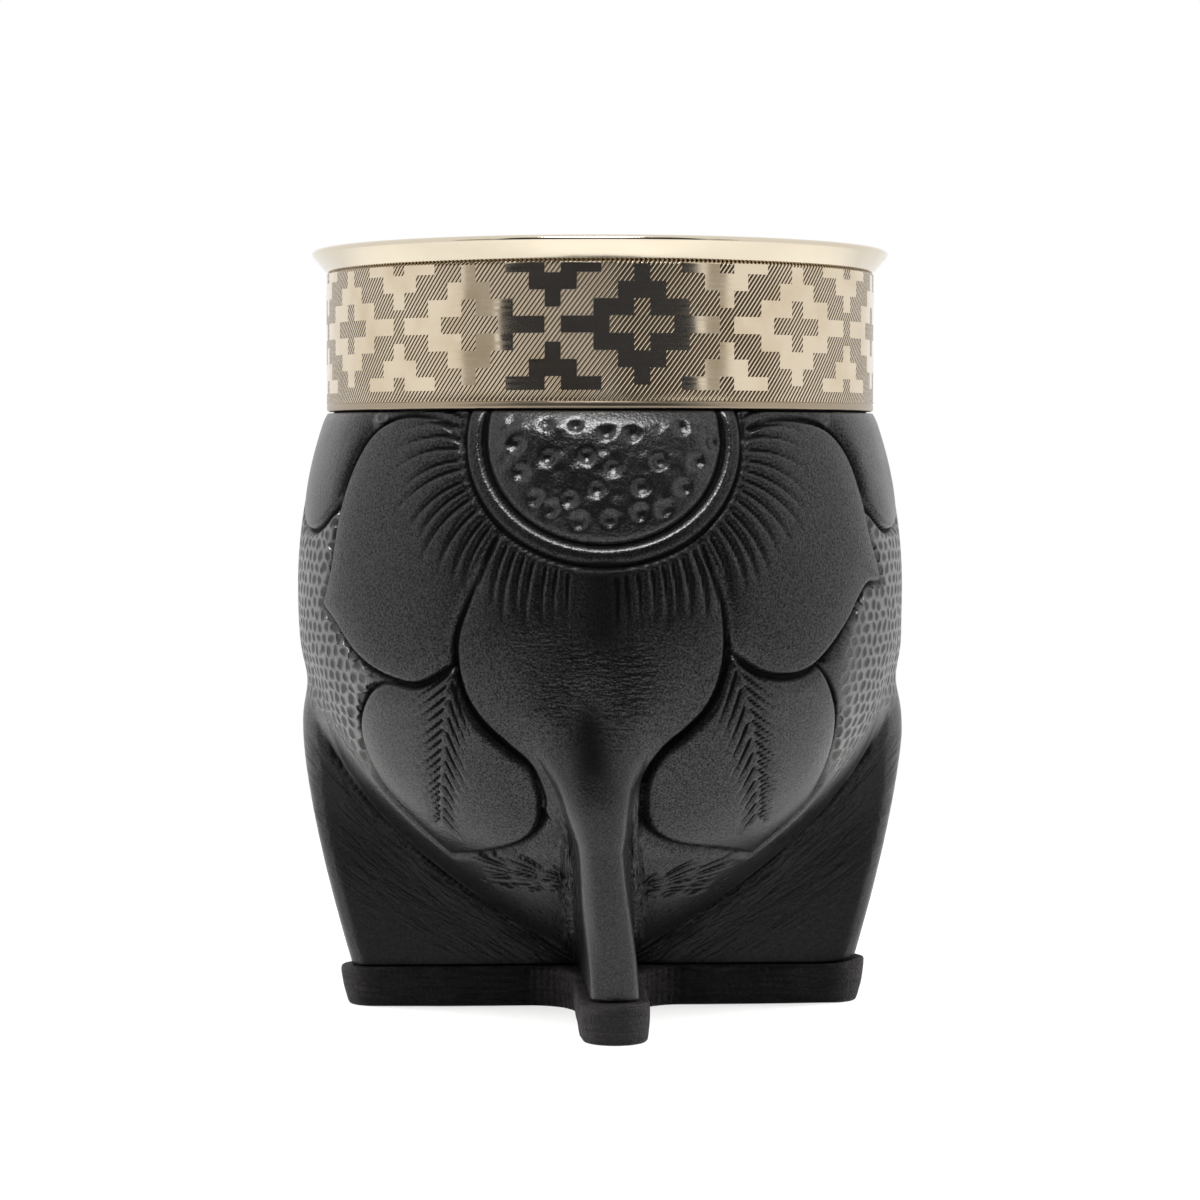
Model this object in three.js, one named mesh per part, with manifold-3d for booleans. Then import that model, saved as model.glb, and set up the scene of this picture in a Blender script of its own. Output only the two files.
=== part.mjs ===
// Mate gourd: a cured calabash bowl in a wet-moulded leather cover whose surplus is pinched into four
// standing legs, on a thick cross-shaped leather sole, with a nickel-silver ferrule round the mouth.
// Millimetres, +Z up, origin under the sole on the bowl's axis, front leg towards -Y.

import * as THREE from "three";
import { mergeVertices } from "three/addons/utils/BufferGeometryUtils.js";
import loadManifold from "manifold-3d";

// Fits
const FIT = 0.3; // gap between two pieces that seat against each other

// Sole
const SOLE_THICKNESS = 5.6;
const SOLE_WELT = 1.6; // how far the sole stands out past a leg's leather
const SOLE_VALLEY = 6; // inside radius between two toes
const SOLE_EDGE = 0.6; // rounding of the sole's upper and lower edges

// Legs pinched out of the cover
const LEG_COUNT = 4;
const LEG_HALF = 3.25; // half the thickness of the folded leather at the foot
const LEG_FOOT_REACH = 35.6; // axis to the fold at the sole
const LEG_BULGE_REACH = 42.4; // axis to the fold where it stands out most
const LEG_BULGE_RISE = 32.9; // height of that place above the sole
const LEG_TAPER = 1.45; // power of the fold's curve from the bulge down to the foot
const LEG_DIVE = 6; // how far inside the belly's surface the fold ends, at the belly's height
const LEG_STRAIGHT = 8.4; // height of the foot that keeps its thickness
const LEG_SPREAD = 3.2; // growth of the half thickness from there up to the bulge
const LEG_ROUND = 0.75; // corner radius of the fold, in half thicknesses
const LEG_BLEND = 4; // softness of the crease between leg and belly

// Cover
const BELLY_RADIUS = 42.65;
const BELLY_RISE = 53.7; // widest place of the belly above the sole
const SHOULDER_RISE = 24.5; // from there up to the band
const POCKET_SINK = 2.4; // depth under the sole's top at which the pocket's curve would close
const POCKET_FULLNESS = 2.5; // powers of the pocket's curve between the legs
const POCKET_POINT = 1.15;
const LEATHER = 2.8;
const TUCK = 8; // height of the thinned edge under the band

// Seam down the back
const SEAM_DEPTH = 0.9;
const SEAM_HALF = 2.8;
const THREAD_RADIUS = 0.45;
const STITCH_PITCH = 5;
const STITCH_HALF = 1.4; // half the width of the zigzag
const SEAM_MARGIN = 3; // bare seam at the sole and at the band

// Gourd
const GOURD_SEAT = 5.6; // leather under the gourd's tip
const GOURD_WALL = 5;
const GOURD_BASE = 6; // wall at the tip
const GOURD_FULLNESS = 2.2; // powers of the gourd's curve under the belly
const GOURD_POINT = 0.75;
const NECK_WALL = 6;

// Ferrule
const BAND_RADIUS = 38.5;
const BAND_HEIGHT = 19.35;
const BAND_SHEET = 0.8;
const BAND_EDGE = 0.3; // rounding of the band's lower edge
const BAND_LEDGE = 0.25; // how far the band stands out past the leather under it
const LIP_FLARE = 2; // how far the rim stands out past the band
const LIP_HEIGHT = 3.15;
const LIP_SHEET = 0.8;
const LIP_BEAD = 0.75; // radius of the rolled rim
const SLEEVE_SHEET = 0.75;
const SLEEVE_DEPTH = 16;

// Mesh fineness
const TURN_STEPS = 56; // segments round a turned piece
const LEG_STEPS = 11; // columns of the cover from a leg's middle to the valley beside it
const LEG_CROWDING = 1.9; // power that crowds those columns towards the leg
const COVER_ROWS = 23;
const ROW_CROWDING = 1.15; // power that crowds the cover's rows towards the sole
const EGG_STEPS = 8;
const SHOULDER_STEPS = 4;
const TOE_STEPS = 5; // pairs of segments round a toe or a valley of the sole
const LIP_STEPS = 4; // segments along each curve of the lip
const THREAD_STEPS = 3; // pairs of sides round the thread
const SEARCH_STEPS = 40; // halvings in the search for the cover's surface

// Heights
const soleTop = SOLE_THICKNESS;
const bulgeZ = soleTop + LEG_BULGE_RISE;
const bellyZ = soleTop + BELLY_RISE;
const bandBottom = bellyZ + SHOULDER_RISE;
const bandTop = bandBottom + BAND_HEIGHT;
const rimTop = bandTop + LIP_HEIGHT;
const shoulderTop = bandBottom - FIT;
const tuckTop = bandBottom + TUCK;
const gourdTop = bandTop - FIT;
const gourdTip = soleTop + GOURD_SEAT;
const cavityTip = gourdTip + GOURD_BASE;
const boreBottom = bandTop - SLEEVE_DEPTH - FIT;

// Radii, from the band inwards
const bandInner = BAND_RADIUS - BAND_SHEET;
const shoulderRadius = BAND_RADIUS - BAND_LEDGE;
const tuckRadius = bandInner - FIT;
const neckRadius = shoulderRadius - LEATHER - FIT;
const boreRadius = neckRadius - NECK_WALL;
const sleeveOuter = boreRadius - FIT;
const mouthRadius = sleeveOuter - SLEEVE_SHEET;
const gourdBelly = BELLY_RADIUS - LEATHER - FIT;
const cavityBelly = gourdBelly - GOURD_WALL;
const lipRadius = BAND_RADIUS + LIP_FLARE;

// Directions, as turns about the axis from +X
const sector = (2 * Math.PI) / LEG_COUNT;
const frontTurn = -Math.PI / 2;
const seamTurn = frontTurn + Math.floor(LEG_COUNT / 2) * sector;

// Radius of an egg-shaped underside: full at the belly's height, closing on the axis at the tip.
function eggRadius(z, radius, tip, fullness, point) {
  const fall = Math.min((bellyZ - z) / (bellyZ - tip), 1);
  return radius * (1 - fall ** fullness) ** point;
}

// Radius above the belly, closing in by the square of the rise.
function shoulderCurve(z, radius, top, topRadius) {
  const rise = (z - bellyZ) / (top - bellyZ);
  return radius - (radius - topRadius) * rise * rise;
}

// Radius of the cover between two legs.
function pocketRadius(z) {
  if (z > bellyZ) return shoulderCurve(z, BELLY_RADIUS, bandBottom, shoulderRadius);
  return eggRadius(z, BELLY_RADIUS, soleTop - POCKET_SINK, POCKET_FULLNESS, POCKET_POINT);
}

// Distance from the axis to a leg's fold: fullest at the bulge, in to the foot, and into the belly above.
function legReach(z) {
  if (z < bulgeZ) {
    const fall = (bulgeZ - z) / LEG_BULGE_RISE;
    return LEG_BULGE_REACH - (LEG_BULGE_REACH - LEG_FOOT_REACH) * fall ** LEG_TAPER;
  }
  const rise = (z - bulgeZ) / (bellyZ - bulgeZ);
  return LEG_BULGE_REACH - (LEG_BULGE_REACH - BELLY_RADIUS + LEG_DIVE) * rise * rise;
}

// Half thickness of a leg, the same along the foot and growing above it.
function legHalf(z) {
  const rise = Math.max(z - soleTop - LEG_STRAIGHT, 0) / (LEG_BULGE_RISE - LEG_STRAIGHT);
  return LEG_HALF + LEG_SPREAD * rise * rise;
}

// Distance from a leg's rounded bar, for a point along and across the leg.
function legDistance(along, across, z) {
  const half = legHalf(z);
  const round = LEG_ROUND * half;
  const dx = along - (legReach(z) - round);
  const dy = Math.abs(across) - (half - round);
  const outside = Math.hypot(Math.max(dx, 0), Math.max(dy, 0));
  return outside + Math.min(Math.max(dx, dy), 0) - round;
}

// Smaller of two distances, with a soft crease where they meet.
function softUnion(a, b, blend) {
  const overlap = Math.max(blend - Math.abs(a - b), 0) / blend;
  return Math.min(a, b) - (overlap * overlap * blend) / 4;
}

// Turn from the nearest leg's middle, between minus and plus half a sector.
function turnFromLeg(turn) {
  const legs = Math.round((turn - frontTurn) / sector);
  return turn - frontTurn - legs * sector;
}

// Depth of the seam's hollow at a distance across the seam.
function seamHollow(across) {
  const share = Math.min(Math.abs(across) / SEAM_HALF, 1);
  return SEAM_DEPTH * Math.cos((share * Math.PI) / 2) ** 2;
}

// Radius of the cover's outside, found by halving between the axis and a place outside it.
function coverRadius(turn, z) {
  const swing = turnFromLeg(turn);
  let inside = 0;
  let outside = BELLY_RADIUS + LEG_BULGE_REACH;
  for (let step = 0; step < SEARCH_STEPS; step += 1) {
    const r = (inside + outside) / 2;
    const leg = legDistance(r * Math.cos(swing), r * Math.sin(swing), z);
    if (softUnion(leg, r - pocketRadius(z), LEG_BLEND) < 0) inside = r;
    else outside = r;
  }
  const away = turn - seamTurn;
  if (Math.cos(away) < 0) return inside;
  return inside - seamHollow(inside * Math.sin(away));
}

function pointAt(radius, turn, z) {
  return [radius * Math.cos(turn), radius * Math.sin(turn), z];
}

// Turns a closed outline of radius and height about the Z axis.
function turned(outline) {
  const geometry = new THREE.LatheGeometry(outline, TURN_STEPS);
  return geometry.rotateX(Math.PI / 2);
}

function ring(inner, outer, bottom, top) {
  return turned([
    new THREE.Vector2(inner, bottom),
    new THREE.Vector2(outer, bottom),
    new THREE.Vector2(outer, top),
    new THREE.Vector2(inner, top),
    new THREE.Vector2(inner, bottom),
  ]);
}

// Closed skin over rows of points that each run once round the axis, capped at both ends.
function skinOfRows(rows) {
  const columns = rows[0].length;
  const points = rows.flat();
  const index = [];
  for (let row = 0; row + 1 < rows.length; row += 1) {
    for (let column = 0; column < columns; column += 1) {
      const next = (column + 1) % columns;
      const a = row * columns + column;
      const b = row * columns + next;
      index.push(a, b, b + columns, a, b + columns, a + columns);
    }
  }
  const foot = points.push([0, 0, rows[0][0][2]]) - 1;
  const head = points.push([0, 0, rows.at(-1)[0][2]]) - 1;
  const last = (rows.length - 1) * columns;
  for (let column = 0; column < columns; column += 1) {
    const next = (column + 1) % columns;
    index.push(foot, next, column, head, last + column, last + next);
  }
  const geometry = new THREE.BufferGeometry();
  geometry.setAttribute("position", new THREE.Float32BufferAttribute(points.flat(), 3));
  return geometry.setIndex(index);
}

const manifold = await loadManifold();
manifold.setup();

function toSolid(geometry) {
  const bare = new THREE.BufferGeometry();
  bare.setAttribute("position", geometry.getAttribute("position"));
  bare.setIndex(geometry.getIndex());
  const welded = mergeVertices(bare, FIT / 1000);
  const mesh = new manifold.Mesh({
    numProp: 3,
    vertProperties: Float32Array.from(welded.getAttribute("position").array),
    triVerts: Uint32Array.from(welded.getIndex().array),
  });
  mesh.merge();
  return new manifold.Manifold(mesh);
}

function toGeometry(solid) {
  const mesh = solid.getMesh();
  const geometry = new THREE.BufferGeometry();
  geometry.setAttribute("position", new THREE.BufferAttribute(mesh.vertProperties, 3));
  geometry.setIndex(new THREE.BufferAttribute(mesh.triVerts, 1));
  return geometry;
}

// Outside of the gourd from its tip up to the neck, grown by a gap.
function gourdOutside(gap) {
  const outline = [];
  for (let step = 0; step <= EGG_STEPS; step += 1) {
    const angle = (step / EGG_STEPS) * (Math.PI / 2);
    const z = bellyZ - (bellyZ - gourdTip) * Math.cos(angle);
    const r = eggRadius(z, gourdBelly, gourdTip, GOURD_FULLNESS, GOURD_POINT);
    outline.push(new THREE.Vector2(step === 0 ? 0 : r + gap, z - gap));
  }
  for (let step = 1; step <= SHOULDER_STEPS; step += 1) {
    const z = bellyZ + (SHOULDER_RISE * step) / SHOULDER_STEPS;
    outline.push(new THREE.Vector2(shoulderCurve(z, gourdBelly, bandBottom, neckRadius) + gap, z - gap));
  }
  return outline;
}

// Gourd: outside from the tip up the neck, cut flat at the mouth, bored for the sleeve, hollow below.
function gourdBowl() {
  const outline = gourdOutside(0);
  outline.push(new THREE.Vector2(neckRadius, gourdTop));
  outline.push(new THREE.Vector2(boreRadius, gourdTop));
  for (let step = SHOULDER_STEPS; step >= 1; step -= 1) {
    const z = bellyZ + ((boreBottom - bellyZ) * step) / SHOULDER_STEPS;
    outline.push(new THREE.Vector2(shoulderCurve(z, cavityBelly, boreBottom, boreRadius), z));
  }
  for (let step = EGG_STEPS; step >= 0; step -= 1) {
    const angle = (step / EGG_STEPS) * (Math.PI / 2);
    const z = bellyZ - (bellyZ - cavityTip) * Math.cos(angle);
    const r = eggRadius(z, cavityBelly, cavityTip, GOURD_FULLNESS, GOURD_POINT);
    outline.push(new THREE.Vector2(step === 0 ? 0 : r, z));
  }
  return turned(outline);
}

// Turns at which the cover's columns stand, crowded towards each leg.
function coverTurns() {
  const turns = [];
  for (let leg = 0; leg < LEG_COUNT; leg += 1) {
    for (let step = -LEG_STEPS; step < LEG_STEPS; step += 1) {
      const share = Math.sign(step) * Math.abs(step / LEG_STEPS) ** LEG_CROWDING;
      turns.push(frontTurn + leg * sector + (share * sector) / 2);
    }
  }
  return turns;
}

// Cover: outside rows from the sole to the band, a thinned edge under the band, hollowed for the gourd.
function leatherCover() {
  const turns = coverTurns();
  const rows = [];
  for (let row = 0; row <= COVER_ROWS; row += 1) {
    const z = soleTop + (shoulderTop - soleTop) * (row / COVER_ROWS) ** ROW_CROWDING;
    rows.push(turns.map((turn) => pointAt(coverRadius(turn, z), turn, z)));
  }
  for (const z of [shoulderTop, tuckTop]) {
    rows.push(turns.map((turn) => pointAt(tuckRadius, turn, z)));
  }
  const hollow = gourdOutside(FIT);
  hollow.push(new THREE.Vector2(neckRadius + FIT, gourdTop));
  hollow.push(new THREE.Vector2(0, gourdTop));
  return toGeometry(toSolid(skinOfRows(rows)).subtract(toSolid(turned(hollow))));
}

// Thread: a zigzag across the seam, lying just clear of the leather from the foot to the band.
function backSeamThread() {
  const start = soleTop + SEAM_MARGIN;
  const length = bandBottom - SEAM_MARGIN - start;
  const stitches = Math.floor(length / STITCH_PITCH) * 2;
  const points = [];
  for (let stitch = 0; stitch <= stitches; stitch += 1) {
    const z = start + (length * stitch) / stitches;
    const side = stitch % 2 === 0 ? 1 : -1;
    const turn = seamTurn + Math.asin((side * STITCH_HALF) / coverRadius(seamTurn, z));
    const lift = coverRadius(turn, z) + FIT + THREAD_RADIUS;
    points.push(new THREE.Vector3(...pointAt(lift, turn, z)));
  }
  const section = new THREE.Shape();
  section.absarc(0, 0, THREAD_RADIUS, 0, 2 * Math.PI);
  return new THREE.ExtrudeGeometry(section, {
    steps: stitches * 2,
    curveSegments: THREAD_STEPS,
    extrudePath: new THREE.CatmullRomCurve3(points),
  });
}

// Sole: one rounded toe under each leg, joined by round valleys.
function leatherSole() {
  const half = LEG_HALF + SOLE_WELT;
  const toe = LEG_FOOT_REACH + SOLE_WELT - half;
  const valley = (half + SOLE_VALLEY) / Math.sin(sector / 2);
  const quarter = Math.PI / 2;
  const outline = new THREE.Shape();
  for (let leg = 0; leg < LEG_COUNT; leg += 1) {
    const turn = frontTurn + leg * sector;
    const between = turn + sector / 2;
    const [toeX, toeY] = pointAt(toe, turn, 0);
    const [valleyX, valleyY] = pointAt(valley, between, 0);
    outline.absarc(toeX, toeY, half, turn - quarter, turn + quarter, false);
    outline.absarc(valleyX, valleyY, SOLE_VALLEY, turn - quarter, turn + sector + quarter, true);
  }
  const geometry = new THREE.ExtrudeGeometry(outline, {
    depth: SOLE_THICKNESS - 2 * SOLE_EDGE,
    curveSegments: TOE_STEPS,
    bevelThickness: SOLE_EDGE,
    bevelSize: SOLE_EDGE,
    bevelOffset: -SOLE_EDGE,
    bevelSegments: 2,
  });
  return geometry.translate(0, 0, SOLE_EDGE);
}

// Band: a plain tube of sheet with a softened lower edge.
function ferruleBand() {
  return turned([
    new THREE.Vector2(bandInner, bandBottom),
    new THREE.Vector2(BAND_RADIUS - BAND_EDGE, bandBottom),
    new THREE.Vector2(BAND_RADIUS, bandBottom + BAND_EDGE),
    new THREE.Vector2(BAND_RADIUS, bandTop),
    new THREE.Vector2(bandInner, bandTop),
    new THREE.Vector2(bandInner, bandBottom),
  ]);
}

// Lip: a spun sheet that rises from the sleeve, rolls over at the rim and flares back in to the band.
function ferruleLip() {
  const beadR = lipRadius - LIP_BEAD;
  const beadZ = rimTop - LIP_BEAD;
  const outline = new THREE.Path();
  outline.moveTo(mouthRadius, bandTop);
  outline.lineTo(sleeveOuter, bandTop);
  outline.quadraticCurveTo(sleeveOuter, beadZ - LIP_BEAD, bandInner, beadZ - LIP_BEAD);
  outline.lineTo(bandInner, bandTop);
  outline.lineTo(BAND_RADIUS, bandTop);
  outline.quadraticCurveTo(BAND_RADIUS, beadZ - LIP_BEAD, lipRadius, beadZ);
  outline.absarc(beadR, beadZ, LIP_BEAD, 0, Math.PI / 2, false);
  outline.quadraticCurveTo(mouthRadius, rimTop, mouthRadius, bandTop + LIP_SHEET);
  outline.closePath();
  return turned(outline.getPoints(LIP_STEPS));
}

// Finishes
const leatherFinish = { color: 0x1c1b1d, roughness: 0.5 };
const soleFinish = { color: 0x201f21, roughness: 0.7 };
const threadFinish = { color: 0x151416, roughness: 0.8 };
const gourdFinish = { color: 0xb8935a, roughness: 0.75 };
const alpacaFinish = { color: 0xcfc9ba, roughness: 0.25, metalness: 1 };
const beddingFinish = { color: 0x9a8f7c, roughness: 0.8 };

const group = new THREE.Group();
group.name = "mate_gourd";

function addPiece(name, geometry, finish) {
  const piece = new THREE.Mesh(geometry, new THREE.MeshStandardMaterial(finish));
  piece.name = name;
  group.add(piece);
}

addPiece("gourd_bowl", gourdBowl(), gourdFinish);
addPiece("leather_cover", leatherCover(), leatherFinish);
addPiece("back_seam_thread", backSeamThread(), threadFinish);
addPiece("leather_sole", leatherSole(), soleFinish);
addPiece("ferrule_band", ferruleBand(), alpacaFinish);
addPiece("ferrule_lip", ferruleLip(), alpacaFinish);
addPiece("ferrule_sleeve", ring(mouthRadius, sleeveOuter, bandTop - SLEEVE_DEPTH, bandTop), alpacaFinish);
addPiece("ferrule_bedding", ring(neckRadius + FIT, tuckRadius, tuckTop + FIT, gourdTop), beddingFinish);

export default group;
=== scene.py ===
"""Mate gourd: tooled leather over a calabash bowl, with an engraved metal mouth, dressed over its solids.

Shapes are worked out in millimetres and put into the meshes in metres. Azimuth is the turn about the bowl's
axis from the front leg, positive to the right of someone who faces that leg; heights are above the table.
"""

import logging
import math
from collections.abc import Mapping, Sequence
from dataclasses import dataclass, field
from enum import Enum

import bpy
import numpy as np
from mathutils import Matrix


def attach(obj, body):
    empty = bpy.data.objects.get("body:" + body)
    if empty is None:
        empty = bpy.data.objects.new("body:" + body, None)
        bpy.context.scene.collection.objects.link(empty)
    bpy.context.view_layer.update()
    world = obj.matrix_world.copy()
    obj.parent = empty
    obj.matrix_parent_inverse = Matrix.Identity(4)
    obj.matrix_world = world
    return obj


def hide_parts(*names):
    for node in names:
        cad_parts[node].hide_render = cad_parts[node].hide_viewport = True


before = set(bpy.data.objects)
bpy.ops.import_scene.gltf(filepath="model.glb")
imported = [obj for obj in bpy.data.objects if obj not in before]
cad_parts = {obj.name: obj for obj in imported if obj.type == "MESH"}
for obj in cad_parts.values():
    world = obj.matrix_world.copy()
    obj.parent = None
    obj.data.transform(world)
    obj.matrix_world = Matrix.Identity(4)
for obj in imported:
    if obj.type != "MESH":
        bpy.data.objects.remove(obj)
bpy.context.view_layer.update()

MM = 0.001
METRE = 1000.0
BODY = "root"
PRINCIPLED = "ShaderNodeBsdfPrincipled"
Socket = bpy.types.NodeSocket
log = logging.getLogger("mate_gourd")


class Ends(Enum):
    """How the first and the last row of a skin are closed."""

    POLES = "poles"
    LOOP = "loop"


def linear_colour(code: str) -> tuple[float, float, float, float]:
    """Turns an sRGB hex colour into linear light, by the sRGB curve, fully opaque.

    Args:
        code: A hash and six hex digits.

    Returns:
        Red, green, blue and alpha, from 0 to 1.
    """
    shares = [int(code[start:start + 2], 16) / 255 for start in (1, 3, 5)]
    light = [s / 12.92 if s <= 0.04045 else ((s + 0.055) / 1.055) ** 2.4 for s in shares]
    return (*light, 1.0)


def per_metre(size: float) -> float:
    """Counts how many features of a size in millimetres fit in the metre that texture scales use."""
    return 1 / (size * MM)


def smooth_step(value: np.ndarray, low: float, high: float) -> np.ndarray:
    """Rises from 0 at low to 1 at high along a cubic with level ends.

    Args:
        value: Where to read the step.
        low: Where it starts.
        high: Where it ends, which may be below low for a falling step.

    Returns:
        The step at each value.
    """
    share = np.clip((value - low) / (high - low), 0, 1)
    return share * share * (3 - 2 * share)


def bell(value: np.ndarray, half: float | np.ndarray) -> np.ndarray:
    """Falls off to both sides from 1 at nothing: e to the minus square of the value over the half width."""
    return np.exp(-((value / half) ** 2))


def unit(turn: np.ndarray) -> np.ndarray:
    """Places on the unit circle at the given turns."""
    return np.stack([np.cos(turn), np.sin(turn)], -1)


@dataclass(frozen=True)
class Fade:
    """A soft step from nothing at one value to full at another, which may lie below it."""

    nothing: float
    full: float

    def at(self, value: np.ndarray) -> np.ndarray:
        """Share of the step at each value."""
        return smooth_step(value, self.nothing, self.full)


def wobble(along: np.ndarray, wave: float, start: float) -> np.ndarray:
    """Hand-made unevenness: three sines with waves of 1, 0.57 and 0.31 times the given one, added.

    Args:
        along: Distance along the piece.
        wave: Length of the longest wave.
        start: Phase that makes one wobble unlike another.

    Returns:
        Values between about -1 and 1.
    """
    turn = 2 * np.pi * along / wave
    middle, short = 0.6 * np.sin(turn / 0.57 + 2.1 * start), 0.4 * np.sin(turn / 0.31 + 3.7 * start)
    return (np.sin(turn + start) + middle + short) / 2


def scatter(number: np.ndarray, start: float) -> np.ndarray:
    """Gives each whole number its own share from 0 to 1: the fraction of a large multiple of its sine."""
    return np.modf(np.abs(np.sin(number * 12.9898 + start) * 43758.5453))[0]


def smooth_run(points: np.ndarray, steps: int) -> np.ndarray:
    """Catmull-Rom curve through control points, whose ends are carried on straight.

    Args:
        points: Control points, one a row.
        steps: Segments between two control points.

    Returns:
        Points along the curve, the last control point among them.
    """
    padded = np.vstack([2 * points[:1] - points[1:2], points, 2 * points[-1:] - points[-2:-1]])
    a, b, c, d = (padded[k:len(padded) - 3 + k, None] for k in range(4))
    t = np.linspace(0, 1, steps, endpoint=False)[None, :, None]
    curve = (2 * b + (c - a) * t + (2 * a - 5 * b + 4 * c - d) * t**2 + (3 * b - a - 3 * c + d) * t**3) / 2
    return np.vstack([curve.reshape(-1, points.shape[1]), points[-1:]])


def around(radius: np.ndarray, azimuth: np.ndarray, height: np.ndarray) -> np.ndarray:
    """Places points by distance from the axis, turn from the front leg and height."""
    return np.stack(np.broadcast_arrays(radius * np.sin(azimuth), -radius * np.cos(azimuth), height), -1)


def full_turn(columns: int) -> np.ndarray:
    """Azimuths of evenly spaced columns from the back seam once round, without the repeated last one."""
    return np.linspace(-np.pi, np.pi, columns, endpoint=False)


def cell_corners(grid: np.ndarray) -> np.ndarray:
    """Values at the four corners of every cell of a grid, in turn round the cell."""
    return np.stack([grid[:-1, :-1], grid[:-1, 1:], grid[1:, 1:], grid[1:, :-1]], -2)


def skin(
    name: str,
    rows: np.ndarray,
    ends: Ends,
    uv: np.ndarray | None = None,
    fields: Mapping[str, np.ndarray] | None = None,
    finishes: np.ndarray | None = None,
    crisp: float | None = None,
) -> bpy.types.Object:
    """Closed mesh over rows of points that each run once round; quads join neighbouring rows and columns.

    Args:
        name: The piece's name.
        rows: Points in millimetres, as rows by columns by three.
        ends: POLES closes the first and last row with fans, LOOP joins the last row to the first.
        uv: Map coordinates in millimetres, with one column more than rows, and one row more for LOOP.
        fields: Values at the points, as rows by columns, kept as attributes.
        finishes: Material number of each quad.
        crisp: Edge angle in degrees above which the shading breaks.

    Returns:
        The new object, at the origin.
    """
    count, columns = rows.shape[:2]
    index = np.arange(count * columns).reshape(count, columns)
    closed = np.vstack([index, index[:1]]) if ends is Ends.LOOP else index
    wrapped = np.hstack([closed, closed[:, :1]])
    quads = cell_corners(wrapped[..., None]).reshape(-1, 4)
    points = rows.reshape(-1, 3)
    fans = np.empty((0, 3), int)
    if ends is Ends.POLES:
        foot, head = np.full(columns, len(points)), np.full(columns, len(points) + 1)
        points = np.vstack([points, rows[0].mean(0), rows[-1].mean(0)])
        below = np.stack([foot, np.roll(index[0], -1), index[0]], -1)
        above = np.stack([head, index[-1], np.roll(index[-1], -1)], -1)
        fans = np.vstack([below, above])
    corners = np.concatenate([quads.ravel(), fans.ravel()])
    starts = np.concatenate([4 * np.arange(len(quads)), 4 * len(quads) + 3 * np.arange(len(fans))])

    mesh = bpy.data.meshes.new(name)
    mesh.vertices.add(len(points))
    mesh.vertices.foreach_set("co", (points * MM).ravel())
    mesh.loops.add(len(corners))
    mesh.loops.foreach_set("vertex_index", corners)
    mesh.polygons.add(len(starts))
    mesh.polygons.foreach_set("loop_start", starts)
    mesh.polygons.foreach_set("use_smooth", np.ones(len(starts), bool))
    if finishes is not None:
        mesh.polygons.foreach_set("material_index", np.append(finishes.ravel(), np.zeros(len(fans), int)))
    if uv is not None:
        spread = np.vstack([cell_corners(uv).reshape(-1, 2), np.zeros((fans.size, 2))])
        mesh.uv_layers.new(name="unrolled").data.foreach_set("uv", (spread * MM).ravel())
    for title, values in (fields or {}).items():
        poles = [values[0].mean(), values[-1].mean()] if ends is Ends.POLES else []
        kept = np.append(values.ravel(), poles)
        mesh.attributes.new(title, "FLOAT", "POINT").data.foreach_set("value", kept)
    mesh.update(calc_edges=True)
    mesh.validate()
    if crisp is not None:
        mesh.set_sharp_from_angle(angle=math.radians(crisp))
    piece = bpy.data.objects.new(name, mesh)
    bpy.context.scene.collection.objects.link(piece)
    return piece


def turned(name: str, profile: np.ndarray, columns: int, ends: Ends, crisp: float) -> bpy.types.Object:
    """Carries a profile of radius and height once round the axis.

    Args:
        name: The piece's name.
        profile: Radius and height at each point, up the outside and down the inside.
        columns: Steps round the axis.
        ends: How the profile's two ends close.
        crisp: Edge angle in degrees above which the shading breaks.

    Returns:
        The new object.
    """
    azimuth = full_turn(columns)[None]
    rows = around(profile[:, :1], azimuth, profile[:, 1:])
    return skin(name, rows, ends, crisp=crisp)


def bend(start: Sequence[float], pull: Sequence[float], end: Sequence[float], steps: int) -> np.ndarray:
    """Quadratic curve from start to end, bent towards pull, without its last point."""
    t = np.linspace(0, 1, steps, endpoint=False)[:, None]
    return (1 - t) ** 2 * np.array(start) + 2 * t * (1 - t) * np.array(pull) + t**2 * np.array(end)


def add_node(
    tree: bpy.types.NodeTree,
    kind: str,
    inputs: Mapping[str | int, object] | None = None,
    **settings: object,
) -> bpy.types.Node:
    """Adds one shader node, with its settings, its plain inputs and its links.

    Args:
        tree: Where it goes.
        kind: Its type.
        inputs: For an input's name or number, a value or the socket that feeds it.
        settings: The node's own settings.

    Returns:
        The node.
    """
    node = tree.nodes.new(kind)
    for name, value in settings.items():
        setattr(node, name, value)
    for name, value in (inputs or {}).items():
        if isinstance(value, Socket):
            tree.links.new(value, node.inputs[name])
        else:
            node.inputs[name].default_value = value
    return node


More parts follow.
